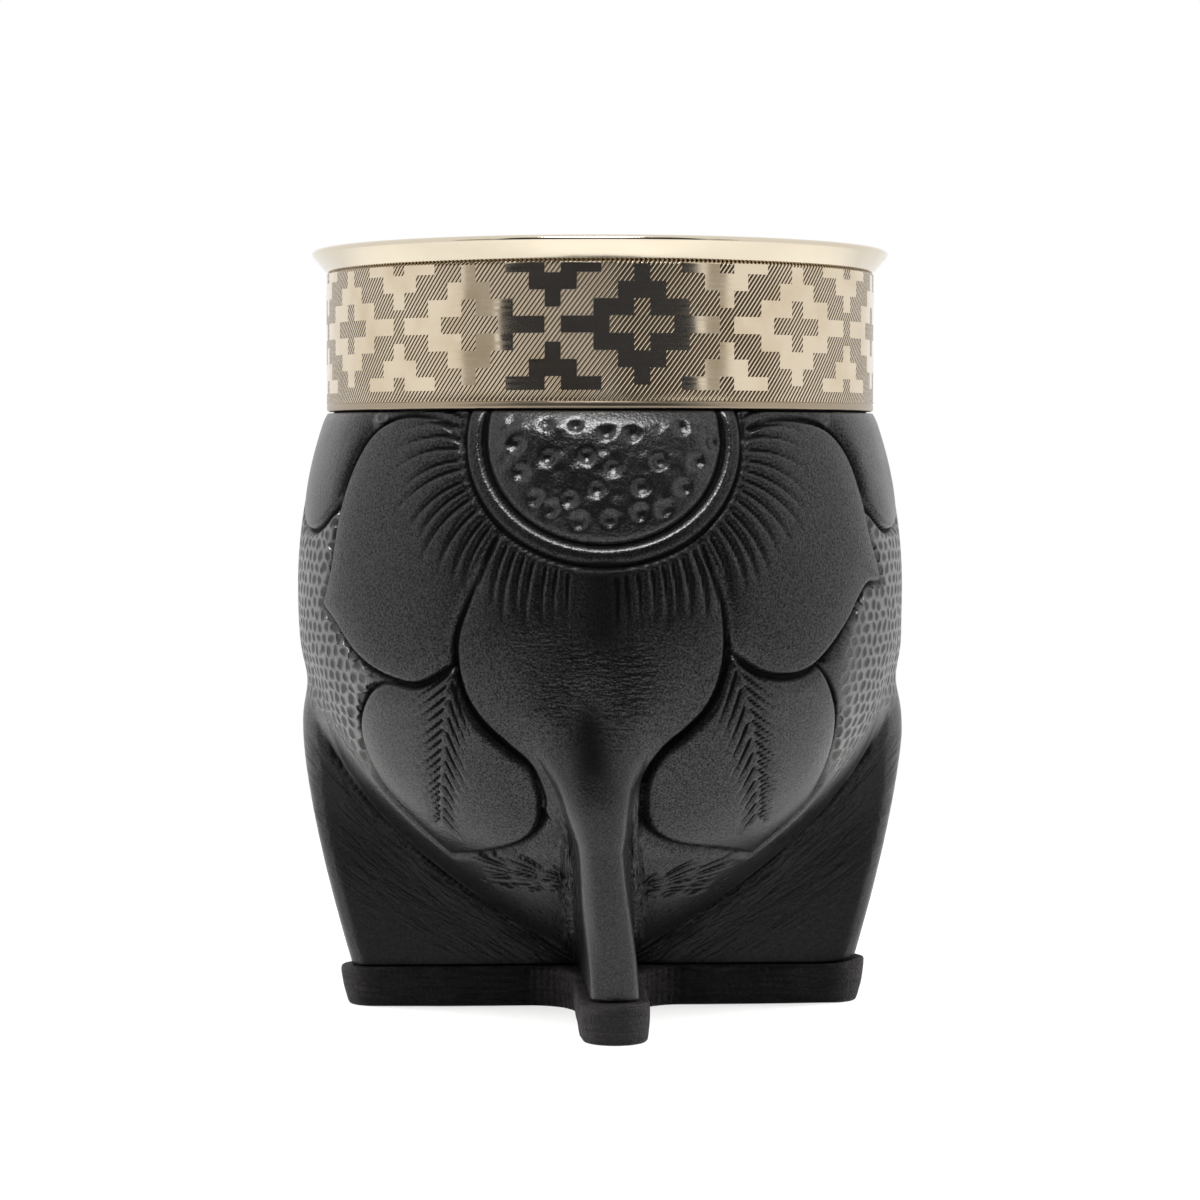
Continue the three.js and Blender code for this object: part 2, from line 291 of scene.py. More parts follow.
class Shader:
    """A material in the making: each method adds a node and hands on the socket that comes out of it."""

    def __init__(self, name: str) -> None:
        """Makes the material with nothing in it."""
        self.material = bpy.data.materials.new(name)
        self.material.use_nodes = True
        self.tree = self.material.node_tree
        self.tree.nodes.clear()

    def place(self) -> Socket:
        """Place on the piece, in metres."""
        return add_node(self.tree, "ShaderNodeTexCoord").outputs["Object"]

    def unrolled(self) -> Socket:
        """Place on the piece's own map, in metres."""
        return add_node(self.tree, "ShaderNodeUVMap", uv_map="unrolled").outputs["UV"]

    def field(self, name: str) -> Socket:
        """Values that the mesh keeps at its points."""
        return add_node(self.tree, "ShaderNodeAttribute", attribute_name=name).outputs["Fac"]

    def drawn(self, at: Socket, *sizes: float) -> Socket:
        """Counts a place in features of a size in millimetres along each axis."""
        scale = tuple(per_metre(size) for size in sizes)
        return add_node(self.tree, "ShaderNodeMapping", {"Vector": at, "Scale": scale}).outputs[0]

    def noise(self, at: Socket, size: float, detail: float, distortion: float = 0.0) -> Socket:
        """Cloudy noise with features of a size in millimetres."""
        inputs = {"Vector": at, "Scale": per_metre(size), "Detail": detail, "Distortion": distortion}
        return add_node(self.tree, "ShaderNodeTexNoise", inputs).outputs["Fac"]

    def sum(self, operation: str, *values: float | Socket) -> Socket:
        """Works out one sum."""
        return add_node(self.tree, "ShaderNodeMath", dict(enumerate(values)), operation=operation).outputs[0]

    def vector(self, operation: str, output: str, *values: object) -> Socket:
        """Works out one sum on vectors."""
        node = add_node(self.tree, "ShaderNodeVectorMath", dict(enumerate(values)), operation=operation)
        return node.outputs[output]

    def joined(self, x: Socket, y: Socket) -> Socket:
        """Makes a vector of two values."""
        return add_node(self.tree, "ShaderNodeCombineXYZ", {"X": x, "Y": y}).outputs[0]

    def ramp(
        self,
        value: Socket,
        low: float,
        high: float,
        start: float = 0.0,
        end: float = 1.0,
        kind: str = "LINEAR",
    ) -> Socket:
        """Goes from start to end as the value goes from low to high."""
        inputs = {"Value": value, "From Min": low, "From Max": high, "To Min": start, "To Max": end}
        return add_node(self.tree, "ShaderNodeMapRange", inputs, interpolation_type=kind).outputs["Result"]

    def tint(self, share: Socket, none: str | Socket, full: str | Socket) -> Socket:
        """Mixes two colours, each a hex code or a socket."""
        none, full = (linear_colour(end) if isinstance(end, str) else end for end in (none, full))
        inputs = {0: share, 6: none, 7: full}
        return add_node(self.tree, "ShaderNodeMix", inputs, data_type="RGBA").outputs[2]

    def mix(self, share: Socket, none: float | Socket, full: float | Socket) -> Socket:
        """Mixes two values."""
        inputs = {0: share, 2: none, 3: full}
        return add_node(self.tree, "ShaderNodeMix", inputs, data_type="FLOAT").outputs[0]

    def bump(self, height: Socket, depth: float = 1.0) -> Socket:
        """Tilts the surface by a height whose unit is the depth in millimetres."""
        inputs = {"Height": height, "Distance": depth * MM}
        return add_node(self.tree, "ShaderNodeBump", inputs).outputs["Normal"]

    def surface(self, inputs: Mapping[str | int, object], kind: str = PRINCIPLED) -> bpy.types.Material:
        """Closes the material with its surface."""
        surface = add_node(self.tree, kind, inputs)
        add_node(self.tree, "ShaderNodeOutputMaterial", {"Surface": surface.outputs[0]})
        return self.material


def dress(piece: bpy.types.Object, *materials: bpy.types.Material) -> bpy.types.Object:
    """Gives a piece its materials, in the order of its faces' material numbers, and hands it back."""
    # Clearing also resets the faces' material numbers, so a new mesh is left as it is.
    if piece.data.materials:
        piece.data.materials.clear()
    for material in materials:
        piece.data.materials.append(material)
    return piece


def settle(piece: bpy.types.Object, node: str) -> None:
    """Fixes a piece to the body, in place of the solid it stands for."""
    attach(piece, BODY)
    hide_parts(node)
    log.info("%s: %d faces in place of %s", piece.name, len(piece.data.polygons), node)


@dataclass(frozen=True)
class MateSizes:
    """Sizes that several pieces share, in millimetres."""

    fit: float = 0.3
    sole_top: float = 5.6
    leg_count: int = 4
    leg_half: float = 3.25
    foot_reach: float = 35.6
    belly_radius: float = 42.65
    belly_z: float = 59.3
    leather: float = 2.8
    band_radius: float = 38.5
    band_sheet: float = 0.8
    band_ledge: float = 0.25
    band_bottom: float = 83.8
    band_top: float = 103.15
    rim_top: float = 106.3
    neck_wall: float = 6.0
    sleeve_sheet: float = 0.75
    sleeve_depth: float = 16.0
    tuck: float = 8.0
    gourd_seat: float = 5.6
    gourd_fullness: float = 2.2
    gourd_point: float = 0.75

    @property
    def shoulder_radius(self) -> float:
        """Leather's radius just under the band."""
        return self.band_radius - self.band_ledge

    @property
    def band_inner(self) -> float:
        """Inside radius of the band."""
        return self.band_radius - self.band_sheet

    @property
    def neck_radius(self) -> float:
        """Outside radius of the gourd's neck."""
        return self.shoulder_radius - self.leather - self.fit

    @property
    def bore_radius(self) -> float:
        """Radius of the gourd's mouth."""
        return self.neck_radius - self.neck_wall

    @property
    def sleeve_outer(self) -> float:
        """Outside radius of the sleeve."""
        return self.bore_radius - self.fit

    @property
    def mouth_radius(self) -> float:
        """Inside radius of the sleeve."""
        return self.sleeve_outer - self.sleeve_sheet

    @property
    def gourd_belly(self) -> float:
        """Greatest radius of the gourd."""
        return self.belly_radius - self.leather - self.fit

    @property
    def gourd_tip(self) -> float:
        """Height of the gourd's lowest point."""
        return self.sole_top + self.gourd_seat

    def egg(self, z: np.ndarray, radius: float, tip: float, fullness: float, point: float) -> np.ndarray:
        """Radius of an egg-shaped underside: radius times (1 - fall to the fullness) to the point.

        Args:
            z: Heights.
            radius: Radius at the belly's height.
            tip: Height at which the egg closes.
            fullness: Power of the fall.
            point: Power of the whole.

        Returns:
            The radius at each height.
        """
        fall = np.clip((self.belly_z - z) / (self.belly_z - tip), 0, 1)
        return radius * (1 - fall**fullness) ** point

    def shoulder(self, z: np.ndarray, radius: float, top: float, top_radius: float) -> np.ndarray:
        """Radius above the belly, which closes in by the square of the rise."""
        rise = (z - self.belly_z) / (top - self.belly_z)
        return radius - (radius - top_radius) * rise**2

    def gourd_outside(self, z: np.ndarray) -> np.ndarray:
        """Radius of the gourd: an egg under the belly, closing in to the neck above it."""
        under = self.egg(z, self.gourd_belly, self.gourd_tip, self.gourd_fullness, self.gourd_point)
        over = self.shoulder(z, self.gourd_belly, self.band_bottom, self.neck_radius)
        return np.where(z > self.belly_z, over, under)


@dataclass(frozen=True)
class Motif:
    """A tooled shape on the unrolled leather.

    Each run is a smooth stretch of its outline between two corners: arc at the belly's radius, height, and
    the share of the full cutting depth, which is nothing where a motif on top hides the edge.
    """

    runs: tuple[tuple[tuple[float, float, float], ...], ...]
    pillow: float
    crown: float


LEFT_FAR_PETAL = Motif(
    runs=(
        ((-41.0, 86.0, 0.0), (-41.5, 78.0, 0.0), (-43.8, 73.4, 0.3), (-46.8, 70.4, 0.8), (-51.2, 68.0, 0.9),
         (-56.5, 67.6, 0.9), (-61.5, 70.0, 0.9), (-65.0, 74.8, 0.9), (-66.2, 80.0, 0.8), (-66.4, 86.0, 0.5)),
    ),
    pillow=0.35,
    crown=2.5,
)
RIGHT_FAR_PETAL = Motif(
    runs=(
        ((63.4, 86.0, 0.5), (63.2, 80.0, 0.8), (62.0, 74.8, 0.9), (58.5, 70.0, 0.9), (53.5, 67.6, 0.9),
         (48.2, 68.0, 0.9), (44.0, 70.4, 0.8), (41.0, 73.4, 0.3), (38.5, 78.0, 0.0), (38.0, 86.0, 0.0)),
    ),
    pillow=0.35,
    crown=2.5,
)
LEFT_LEAF = Motif(
    runs=(
        ((-22.3, 52.0, 0.0), (-28.6, 49.0, 0.0), (-33.4, 47.6, 0.5), (-37.6, 46.4, 1.0), (-42.3, 42.0, 1.3),
         (-44.3, 37.0, 1.35), (-44.3, 32.1, 1.3), (-41.9, 27.0, 1.0), (-39.1, 22.9, 0.7)),
        ((-39.1, 22.9, 0.7), (-29.2, 23.7, 0.9), (-20.4, 25.1, 1.0), (-14.7, 27.1, 1.0), (-11.9, 30.1, 1.0),
         (-11.1, 34.4, 0.9), (-13.0, 38.2, 0.2), (-17.0, 43.0, 0.0), (-20.0, 48.0, 0.0), (-22.3, 52.0, 0.0)),
    ),
    pillow=0.45,
    crown=3.0,
)
RIGHT_LEAF = Motif(
    runs=(
        ((10.8, 41.9, 0.1), (7.5, 38.6, 0.6), (5.1, 33.8, 0.9), (5.7, 29.5, 1.0), (8.3, 27.2, 1.0),
         (14.1, 25.5, 1.0), (24.5, 24.3, 0.9), (36.1, 22.9, 0.6)),
        ((36.1, 22.9, 0.6), (40.9, 29.2, 1.1), (40.3, 34.9, 1.35), (37.8, 41.4, 1.4), (35.1, 45.6, 1.3),
         (30.8, 49.9, 0.7), (26.0, 51.0, 0.0), (20.0, 52.5, 0.0), (15.5, 52.5, 0.0), (13.5, 46.5, 0.0),
         (10.8, 41.9, 0.1)),
    ),
    pillow=0.45,
    crown=3.0,
)
LEFT_PETAL = Motif(
    runs=(
        ((-19.0, 76.0, 0.0), (-22.4, 79.3, 0.3), (-26.5, 82.4, 0.6), (-33.4, 83.1, 0.9), (-39.2, 81.2, 1.3),
         (-42.6, 77.0, 1.3), (-44.6, 71.0, 1.1), (-45.9, 62.9, 0.9), (-48.4, 57.4, 0.5)),
        ((-48.4, 57.4, 0.5), (-44.5, 54.9, 0.8), (-39.9, 51.0, 1.0), (-34.9, 48.6, 1.1), (-28.6, 47.5, 1.1),
         (-23.4, 49.7, 0.9), (-20.8, 52.3, 0.4), (-17.5, 58.0, 0.0), (-16.5, 66.0, 0.0), (-19.0, 76.0, 0.0)),
    ),
    pillow=0.5,
    crown=3.5,
)
RIGHT_PETAL = Motif(
    runs=(
        ((16.0, 76.0, 0.0), (19.0, 79.4, 0.3), (23.0, 82.0, 0.6), (29.3, 82.6, 0.9), (36.0, 81.4, 1.3),
         (40.0, 77.9, 1.3), (41.9, 72.4, 1.1), (43.0, 67.0, 0.9), (45.9, 60.5, 0.5)),
        ((45.9, 60.5, 0.5), (41.6, 60.3, 0.9), (38.8, 58.2, 1.0), (36.4, 55.4, 1.0), (31.1, 50.6, 1.1),
         (27.2, 48.8, 1.1), (22.0, 48.9, 1.1), (17.9, 50.8, 0.9), (14.8, 54.0, 0.4), (13.0, 60.0, 0.0),
         (13.0, 68.0, 0.0), (16.0, 76.0, 0.0)),
    ),
    pillow=0.5,
    crown=3.5,
)
FRONT_PETAL = Motif(
    runs=(
        ((-1.4, 74.0, 0.0), (-13.0, 70.0, 0.0), (-16.6, 65.0, 0.4), (-19.6, 59.0, 0.8), (-21.6, 53.2, 1.1),
         (-21.1, 47.1, 1.2), (-18.9, 43.0, 1.2), (-15.7, 39.9, 1.2), (-12.4, 36.9, 1.1), (-11.2, 33.0, 0.7),
         (-10.8, 29.5, 0.1), (-3.0, 26.0, 0.0), (4.8, 27.0, 0.1), (5.0, 30.5, 0.5), (4.9, 35.2, 0.9),
         (7.0, 39.0, 1.1), (10.7, 42.2, 1.1), (13.3, 45.2, 1.1), (14.8, 49.5, 1.1), (15.0, 55.0, 0.9),
         (14.0, 60.5, 0.7), (12.0, 64.5, 0.3), (8.0, 70.0, 0.0), (-1.4, 74.0, 0.0)),
    ),
    pillow=0.6,
    crown=4.0,
)
MOTIFS = (LEFT_FAR_PETAL, RIGHT_FAR_PETAL, LEFT_LEAF, RIGHT_LEAF, LEFT_PETAL, RIGHT_PETAL, FRONT_PETAL)

SEED_DIMPLES = np.array([
    (-14.3, 82.3), (-9.4, 81.8), (-5.3, 81.5), (-1.1, 80.5), (2.5, 80.3), (9.4, 81.1), (14.0, 79.2),
    (-13.4, 78.9), (-8.8, 77.3), (-3.7, 77.4), (-0.2, 75.8), (6.0, 76.6), (11.1, 76.8), (-12.4, 75.3),
    (-10.4, 72.1), (-8.4, 70.8), (-5.9, 71.9), (-2.3, 73.1), (3.4, 73.4), (9.1, 73.5), (-4.6, 69.2),
    (-0.8, 69.5), (3.2, 70.2), (6.4, 70.8),
])
CREASE_DABS = np.array([
    (35.6, 19.4), (36.6, 18.0), (38.2, 16.4), (33.4, 16.0), (35.0, 14.4), (29.6, 14.6), (24.8, 14.6),
    (22.0, 13.8), (27.2, 12.6), (27.0, 10.9), (31.0, 12.9), (40.4, 17.6), (19.4, 12.4), (23.0, 11.2),
])


@dataclass(frozen=True)
class LeafRib:
    """A leaf's midrib, from its head to its tip, and the side of it that faces the flower's middle."""

    head: tuple[float, float]
    tip: tuple[float, float]
    inner: int
    bow: float


LEAF_RIBS = {
    LEFT_LEAF: LeafRib(head=(-22.4, 51.2), tip=(-32.6, 28.8), inner=1, bow=1.5),
    RIGHT_LEAF: LeafRib(head=(16.0, 53.0), tip=(28.0, 29.3), inner=-1, bow=0.8),
}


@dataclass(frozen=True)
class Gouges:
    """Strokes of a gouge on the leather's map, each from a start to an end and bowed a little to one side.

    Along a stroke the depth goes as t to the swell times (1 - t) to the taper; across it the depth falls off
    as a bell that narrows where the stroke is shallow.
    """

    start: np.ndarray
    end: np.ndarray
    bow: np.ndarray
    half: float
    depth: float
    swell: float
    taper: float

    def share(self, arc: np.ndarray, level: np.ndarray) -> np.ndarray:
        """Takes the greatest share of the full depth that any stroke has at each place.

        Args:
            arc: Arc of each place.
            level: Even-scale height of each place.

        Returns:
            Shares from 0 to 1.
        """
        ends = np.vstack([self.start, self.end])
        reach = 4 * self.half + np.abs(self.bow).max()
        close = (arc > ends[:, 0].min() - reach) & (arc < ends[:, 0].max() + reach)
        close &= (level > ends[:, 1].min() - reach) & (level < ends[:, 1].max() + reach)
        run = self.end - self.start
        length = np.hypot(run[:, 0], run[:, 1])
        x, y = arc[close][:, None] - self.start[:, 0], level[close][:, None] - self.start[:, 1]
        t = np.clip((x * run[:, 0] + y * run[:, 1]) / length**2, 0, 1)
        across = (y * run[:, 0] - x * run[:, 1]) / length - self.bow * 4 * t * (1 - t)
        crest = self.swell / (self.swell + self.taper)
        shape = t**self.swell * (1 - t) ** self.taper / (crest**self.swell * (1 - crest) ** self.taper)
        found = np.zeros(arc.shape)
        found[close] = (shape * bell(across, self.half * (0.3 + 0.7 * shape))).max(1)
        return found


@dataclass
class Relief:
    """Tooling at each point of the cover: height in millimetres and shares from 0 to 1 for the finish, the cut
    share with painted shade and the polish a painted highlight.
    """

    height: np.ndarray
    cut_and_shade: np.ndarray
    ground: np.ndarray
    wrinkle: np.ndarray
    polish: np.ndarray


@dataclass
class FlowerTooling:
    """The tooled flower: where it sits on the unrolled leather and how deep each tool went."""

    sizes: MateSizes
    centre_arc: float = -1.4
    centre_z: float = 81.3
    squeeze: float = 0.94
    inner_ring: float = 16.3
    outer_ring: float = 18.9
    ring_depth: float = 0.6
    ring_edge: float = 0.3
    ring_crown: float = 0.4
    dome: float = 0.9
    lumps: float = 0.22
    cut_depth: float = 0.85
    cut_inside: float = 0.32
    cut_outside: float = 0.58
    bevel_depth: float = 0.42
    bevel_width: float = 1.1
    bevel_shade: float = 0.46
    dimple_depth: float = 0.62
    dimple_radius: float = 1.3
    stroke_pitch: float = 1.4
    strokes_each_way: int = 24
    rim_shade: float = 0.6
    band_shade: float = 0.4
    # Sheen added on the leaves, the sides and the disc: a painted highlight.
    polish: float = 0.4
    near: float = 9.0
    margin_off: float = 8.0
    margin_depth: float = 0.4
    slit_depth: float = 0.5
    margin_foot: Fade = Fade(30.0, 44.0)
    scales_off: Fade = Fade(8.4, 9.4)
    scales_sides: Fade = Fade(34.0, 42.0)
    scales_top: Fade = Fade(84.5, 82.5)
    scales_foot: float = 46.0
    scales_dip: float = 10.0
    tuck_softness: float = 0.2
    table: tuple[np.ndarray, np.ndarray, np.ndarray] = field(init=False)

    def __post_init__(self) -> None:
        """Tables the belly's radius and the even-scale height against the height above the table."""
        z = np.linspace(4.0, 90.0, 1721)
        radius = np.maximum(self.belly(z), 6.0)
        slope = np.gradient(radius, z)
        rise = np.hypot(1, slope) * self.sizes.belly_radius / radius
        level = np.concatenate([[0], np.cumsum((rise[1:] + rise[:-1]) / 2 * np.diff(z))])
        self.table = z, radius, level

    def belly(self, z: np.ndarray) -> np.ndarray:
        """Radius of the cover between two legs: an egg below the belly, closing in to the band above it."""
        s = self.sizes
        under = s.egg(z, s.belly_radius, s.sole_top - 2.4, 2.5, 1.15)
        over = s.shoulder(z, s.belly_radius, s.band_bottom, s.shoulder_radius)
        return np.where(z > s.belly_z, over, under)

    def level(self, z: np.ndarray) -> np.ndarray:
        """Height on a map of the leather with one scale both ways: the sum of slant length over radius."""
        return np.interp(z, self.table[0], self.table[2])

    def on_map(self, places: Sequence[tuple[float, float]]) -> np.ndarray:
        """Turns places given by arc and height into places on the even-scale map."""
        given = np.array(places, float)
        return np.stack([given[:, 0], self.level(given[:, 1])], -1)

    def distance(self, arc: np.ndarray, level: np.ndarray, motif: Motif) -> tuple[np.ndarray, np.ndarray]:
        """Distance to a motif's outline on the map, negative inside, and the outline's cutting share there.

        The nearest of all the outline's short segments is taken; a place is inside where a line from it to
        the right crosses the outline an odd number of times.

        Args:
            arc: Arc of each place.
            level: Even-scale height of each place.
            motif: The shape.

        Returns:
            Distance and cutting share at each place.
        """
        line = np.vstack([smooth_run(np.array(run), 10)[:-1] for run in motif.runs])
        x, y, share = line[:, 0], self.level(line[:, 1]), np.clip(line[:, 2], 0, None)
        gap, depth = np.full(arc.shape, self.near), np.zeros(arc.shape)
        close = (arc > x.min() - self.near) & (arc < x.max() + self.near)
        close &= (level > y.min() - self.near) & (level < y.max() + self.near)
        px, py = arc[close][:, None], level[close][:, None]
        dx, dy = np.roll(x, -1) - x, np.roll(y, -1) - y
        dy = np.where(np.abs(dy) < 1e-9, 1e-9, dy)
        along = np.clip(((px - x) * dx + (py - y) * dy) / (dx**2 + dy**2), 0, 1)
        reach = np.hypot(px - x - along * dx, py - y - along * dy)
        nearest = reach.argmin(1)[:, None]
        crossed = ((y > py) != (np.roll(y, -1) > py)) & (px < dx * (py - y) / dy + x)
        sign = np.where(crossed.sum(1) % 2 == 1, -1, 1)
        gap[close] = sign * np.take_along_axis(reach, nearest, 1)[:, 0]
        spread = share + along * (np.roll(share, -1) - share)
        depth[close] = np.take_along_axis(spread, nearest, 1)[:, 0]
        return gap, depth

    def ring_strokes(self) -> Gouges:
        """Strokes that spring from the outer ring, arch outwards and droop; the bottom keeps a bare patch.

        Returns:
            The strokes.
        """
        step = self.stroke_pitch / self.outer_ring
        turn = step * np.arange(-self.strokes_each_way, self.strokes_each_way + 1)
        turn = turn[(turn < -0.15) | (turn > 0.04)]
        number = np.round(turn / step)
        turn = turn + 0.3 * step * (scatter(number, 0.9) - 0.5)
        length = 7.0 + 3.8 * np.abs(np.sin(1.2 * turn)) + 2.4 * (scatter(number, 0.3) - 0.3)
        length = np.where((turn > 0) & (turn < 0.2), 11.5, length)
        droop = turn - 0.45 * np.sin(2 * turn)
        out = np.stack([np.sin(turn), -np.cos(turn)], -1)
        start = out * (self.outer_ring + 0.1)
        end = start + np.stack([np.sin(droop), -np.cos(droop)], -1) * length[:, None]
        shift = self.on_map([(self.centre_arc, self.centre_z)])[0]
        widen = np.array([1 / self.squeeze, 1.0])
        return Gouges(
            start * widen + shift, end * widen + shift, 0.12 * np.sin(turn) * length,
            half=0.34, depth=0.45, swell=0.1, taper=0.6,
        )

    def veins(self, rib: LeafRib) -> tuple[Gouges, ...]:
        """A leaf's veins, which droop from the midrib: long and steep on the inner side, short on the outer.

        Args:
            rib: The midrib.

        Returns:
            The inner and the outer veins.
        """
        head, tip = self.on_map([rib.head, rib.tip])
        sides = []
        for count, droop, sideways, inner in ((12, 9.5, 2.8, True), (18, 3.8, 6.6, False)):
            share = (np.arange(count) + 0.35) / (count - 0.2)
            start = head + share[:, None] * (tip - head)
            start[:, 0] += rib.inner * rib.bow * 4 * share * (1 - share)
            uneven = 0.8 + 0.4 * scatter(np.arange(count), 1.7 + inner)
            size = (1 - (0.5 if inner else 0.38) * share) * uneven
            turn = rib.inner if inner else -rib.inner
            fall = np.stack([turn * sideways * (1 - 0.3 * share * inner), np.full(count, -droop)], -1)
            start = start + np.array([turn * 0.28, 0.0])
            sides.append(Gouges(
                start, start + fall * size[:, None], -0.25 * turn * size,
                half=0.34 if inner else 0.3, depth=0.42, swell=0.12, taper=0.6,
            ))
        return tuple(sides)

    def fans(self) -> tuple[Gouges, ...]:
        """Fine strokes under each leaf, in three rows that fan from beside the front leg, and dabs below.

        Returns:
            The strokes and the dabs.
        """
        tools = []
        for side, place in ((-1, (-9.3, 19.6)), (1, (8.1, 18.5))):
            focus = self.on_map([place])[0]
            for row, (near, far, count) in enumerate(((2.2, 9.0, 8), (8.5, 17.0, 10), (16.0, 25.0, 11))):
                number = np.arange(count)
                turn = np.linspace(-0.5 + 0.15 * row, 1.15 - 0.32 * row, count)
                turn = turn + 0.05 * wobble(number, 3.7, row)
                out = np.stack([side * np.cos(turn), np.sin(turn)], -1)
                lengths = (far - near) * (0.75 + 0.5 * scatter(number, 2.0 + row))
                start = focus + out * near
                tools.append(Gouges(
                    start, start + out * lengths[:, None], 0.6 * side * np.sin(2 * turn),
                    half=0.42, depth=0.3, swell=0.3, taper=0.6,
                ))
            dabs = self.on_map(CREASE_DABS * np.array([side, 1]))
            tools.append(Gouges(
                dabs - np.array([0.9, 0.3]), dabs + np.array([0.9, 0.3]), np.zeros(len(dabs)),
                half=0.5, depth=0.24, swell=0.5, taper=0.5,
            ))
        return tuple(tools)

    def disc(self, arc: np.ndarray, level: np.ndarray) -> tuple[np.ndarray, np.ndarray, np.ndarray]:
        """The flower's seeded disc: a low dome with round dimples, and a rounded ring between two grooves.

        Args:
            arc: Arc of each place.
            level: Even-scale height of each place.

        Returns:
            Distance from the disc's middle, its height and how far it is cut.
        """
        middle = self.on_map([(self.centre_arc, self.centre_z)])[0]
        ray = np.hypot((arc - middle[0]) * self.squeeze, level - middle[1])
        within = self.inner_ring - ray
        ring = np.clip((ray - self.inner_ring) / (self.outer_ring - self.inner_ring), 0, 1)
        crown = self.ring_crown * (4 * ring * (1 - ring)) ** 0.3
        height = self.ring_edge + crown + self.dome * smooth_step(within, -0.5, 5.0)
        uneven = wobble(arc, 5.3, 0.7) * wobble(level, 4.3, 2.2)
        height = height + self.lumps * uneven * smooth_step(within, 0.5, 3.0)
        nearest = np.full(arc.shape, self.near)
        close = ray < self.inner_ring + 1
        seeds = self.on_map(SEED_DIMPLES)
        apart = np.hypot(arc[close][:, None] - seeds[:, 0], level[close][:, None] - seeds[:, 1])
        nearest[close] = apart.min(1)
        bowl = np.clip(1 - (nearest / self.dimple_radius) ** 2, 0, 1)
        height = height - self.dimple_depth * bowl**0.9
        grooves = np.zeros(arc.shape)
        for groove in (self.inner_ring, self.outer_ring + 0.15):
            off = ray - groove
            grooves = np.maximum(grooves, bell(off, np.where(off < 0, 0.5, 0.42)))
        return ray, height, grooves

    def motifs(self, arc: np.ndarray, z: np.ndarray) -> tuple[np.ndarray, np.ndarray, np.ndarray]:
        """Works the strokes under the leaves, then petals and leaves from the lowest to the top.

        A motif's inside rises from its edge to a soft pillow; outside its edge the leather is bevelled down,
        and the edge itself is a cut with a bell-shaped section, wider on its low side and most so where it
        goes deepest.

        Args:
            arc: Arc of each place.
            z: Height of each place.

        Returns:
            Height, the share of cut and painted shade, and the share of bare ground round the motifs.
        """
        level = self.level(z)
        scale = np.interp(z, self.table[0], self.table[1]) / self.sizes.belly_radius
        height, cut_and_shade, ground = np.zeros(arc.shape), np.zeros(arc.shape), np.ones(arc.shape)
        for tool in self.fans():
            share = tool.share(arc, level)
            height = height - tool.depth * share
            cut_and_shade = np.maximum(cut_and_shade, 0.95 * share)
        for motif in MOTIFS:
            gap, depth = self.distance(arc, level, motif)
            gap = gap * scale
            inside = smooth_step(-gap, -0.18, 0.18)
            crest = motif.pillow * (1 - (1 - np.clip(-gap / (2.6 * motif.crown), 0, 1)) ** 3)
            marks = np.zeros(arc.shape)
            for tool in self.veins(LEAF_RIBS[motif]) if motif in LEAF_RIBS else ():
                share = tool.share(arc, level)
                crest = crest - tool.depth * share
                marks = np.maximum(marks, share)
            fall = np.exp(-((np.maximum(gap, 0) / (self.bevel_width * (0.35 + 0.65 * depth))) ** 1.6)) * depth
            outside = self.cut_outside + np.clip(depth - 0.9, 0, 0.5)
            cut = depth * bell(gap, np.where(gap > 0, outside, self.cut_inside))
            height = (height - self.bevel_depth * fall) * (1 - inside) + crest * inside - self.cut_depth * cut
            # Painted shade on the bevel outside the edge, and dye with painted shade in the veins.
            beyond = np.maximum(cut_and_shade, self.bevel_shade * fall) * (1 - inside)
            cut_and_shade = np.maximum(beyond + marks * inside, cut)
            ground = ground * smooth_step(gap, 0.2, 1.2)
        return height, cut_and_shade, ground

    def work(self, azimuth: np.ndarray, z: np.ndarray) -> Relief:
        """Works the whole design: motifs, the ring's strokes, the disc, the seam's margins, the ground.

        Args:
            azimuth: Turn of each place from the front leg.
            z: Height of each place.

        Returns:
            The relief at each place.
        """
        arc = azimuth * self.sizes.belly_radius
        level = self.level(z)
        height, cut_and_shade, ground = self.motifs(arc, z)
        strokes = self.ring_strokes()
        ray, disc, grooves = self.disc(arc, level)
        share = strokes.share(arc, level) * smooth_step(ray, self.outer_ring + 0.3, self.outer_ring + 1.8)
        height = height - strokes.depth * share
        cut_and_shade = np.maximum(cut_and_shade, share)
        in_disc = smooth_step(ray, self.outer_ring + 0.3, self.outer_ring)
        height = height * (1 - in_disc) + disc * in_disc - self.ring_depth * grooves
        # Painted shade on the rim outside the outer ring, toning its glints down, on the ring's band and in
        # both grooves.
        rim = self.rim_shade * bell(ray - self.outer_ring - 0.8, 0.5)
        band = smooth_step(ray, self.inner_ring + 0.8, self.inner_ring + 1.3) * in_disc
        cut_and_shade = np.maximum.reduce([np.maximum(cut_and_shade, rim) * (1 - in_disc), grooves, self.band_shade * band])

        back = np.pi * self.sizes.belly_radius - np.abs(arc)
        margin = bell(back - self.margin_off, 0.6) * self.margin_foot.at(z)
        slit = bell(back, 0.5)
        height = height - self.margin_depth * margin - self.slit_depth * slit
        cut_and_shade = np.maximum(cut_and_shade, np.maximum(margin, slit))
        tucked = 0.15 + 0.45 * np.clip(83.6 - z, 0, 4)
        soft = self.tuck_softness
        height = -soft * np.logaddexp(-height / soft, -tucked / soft)

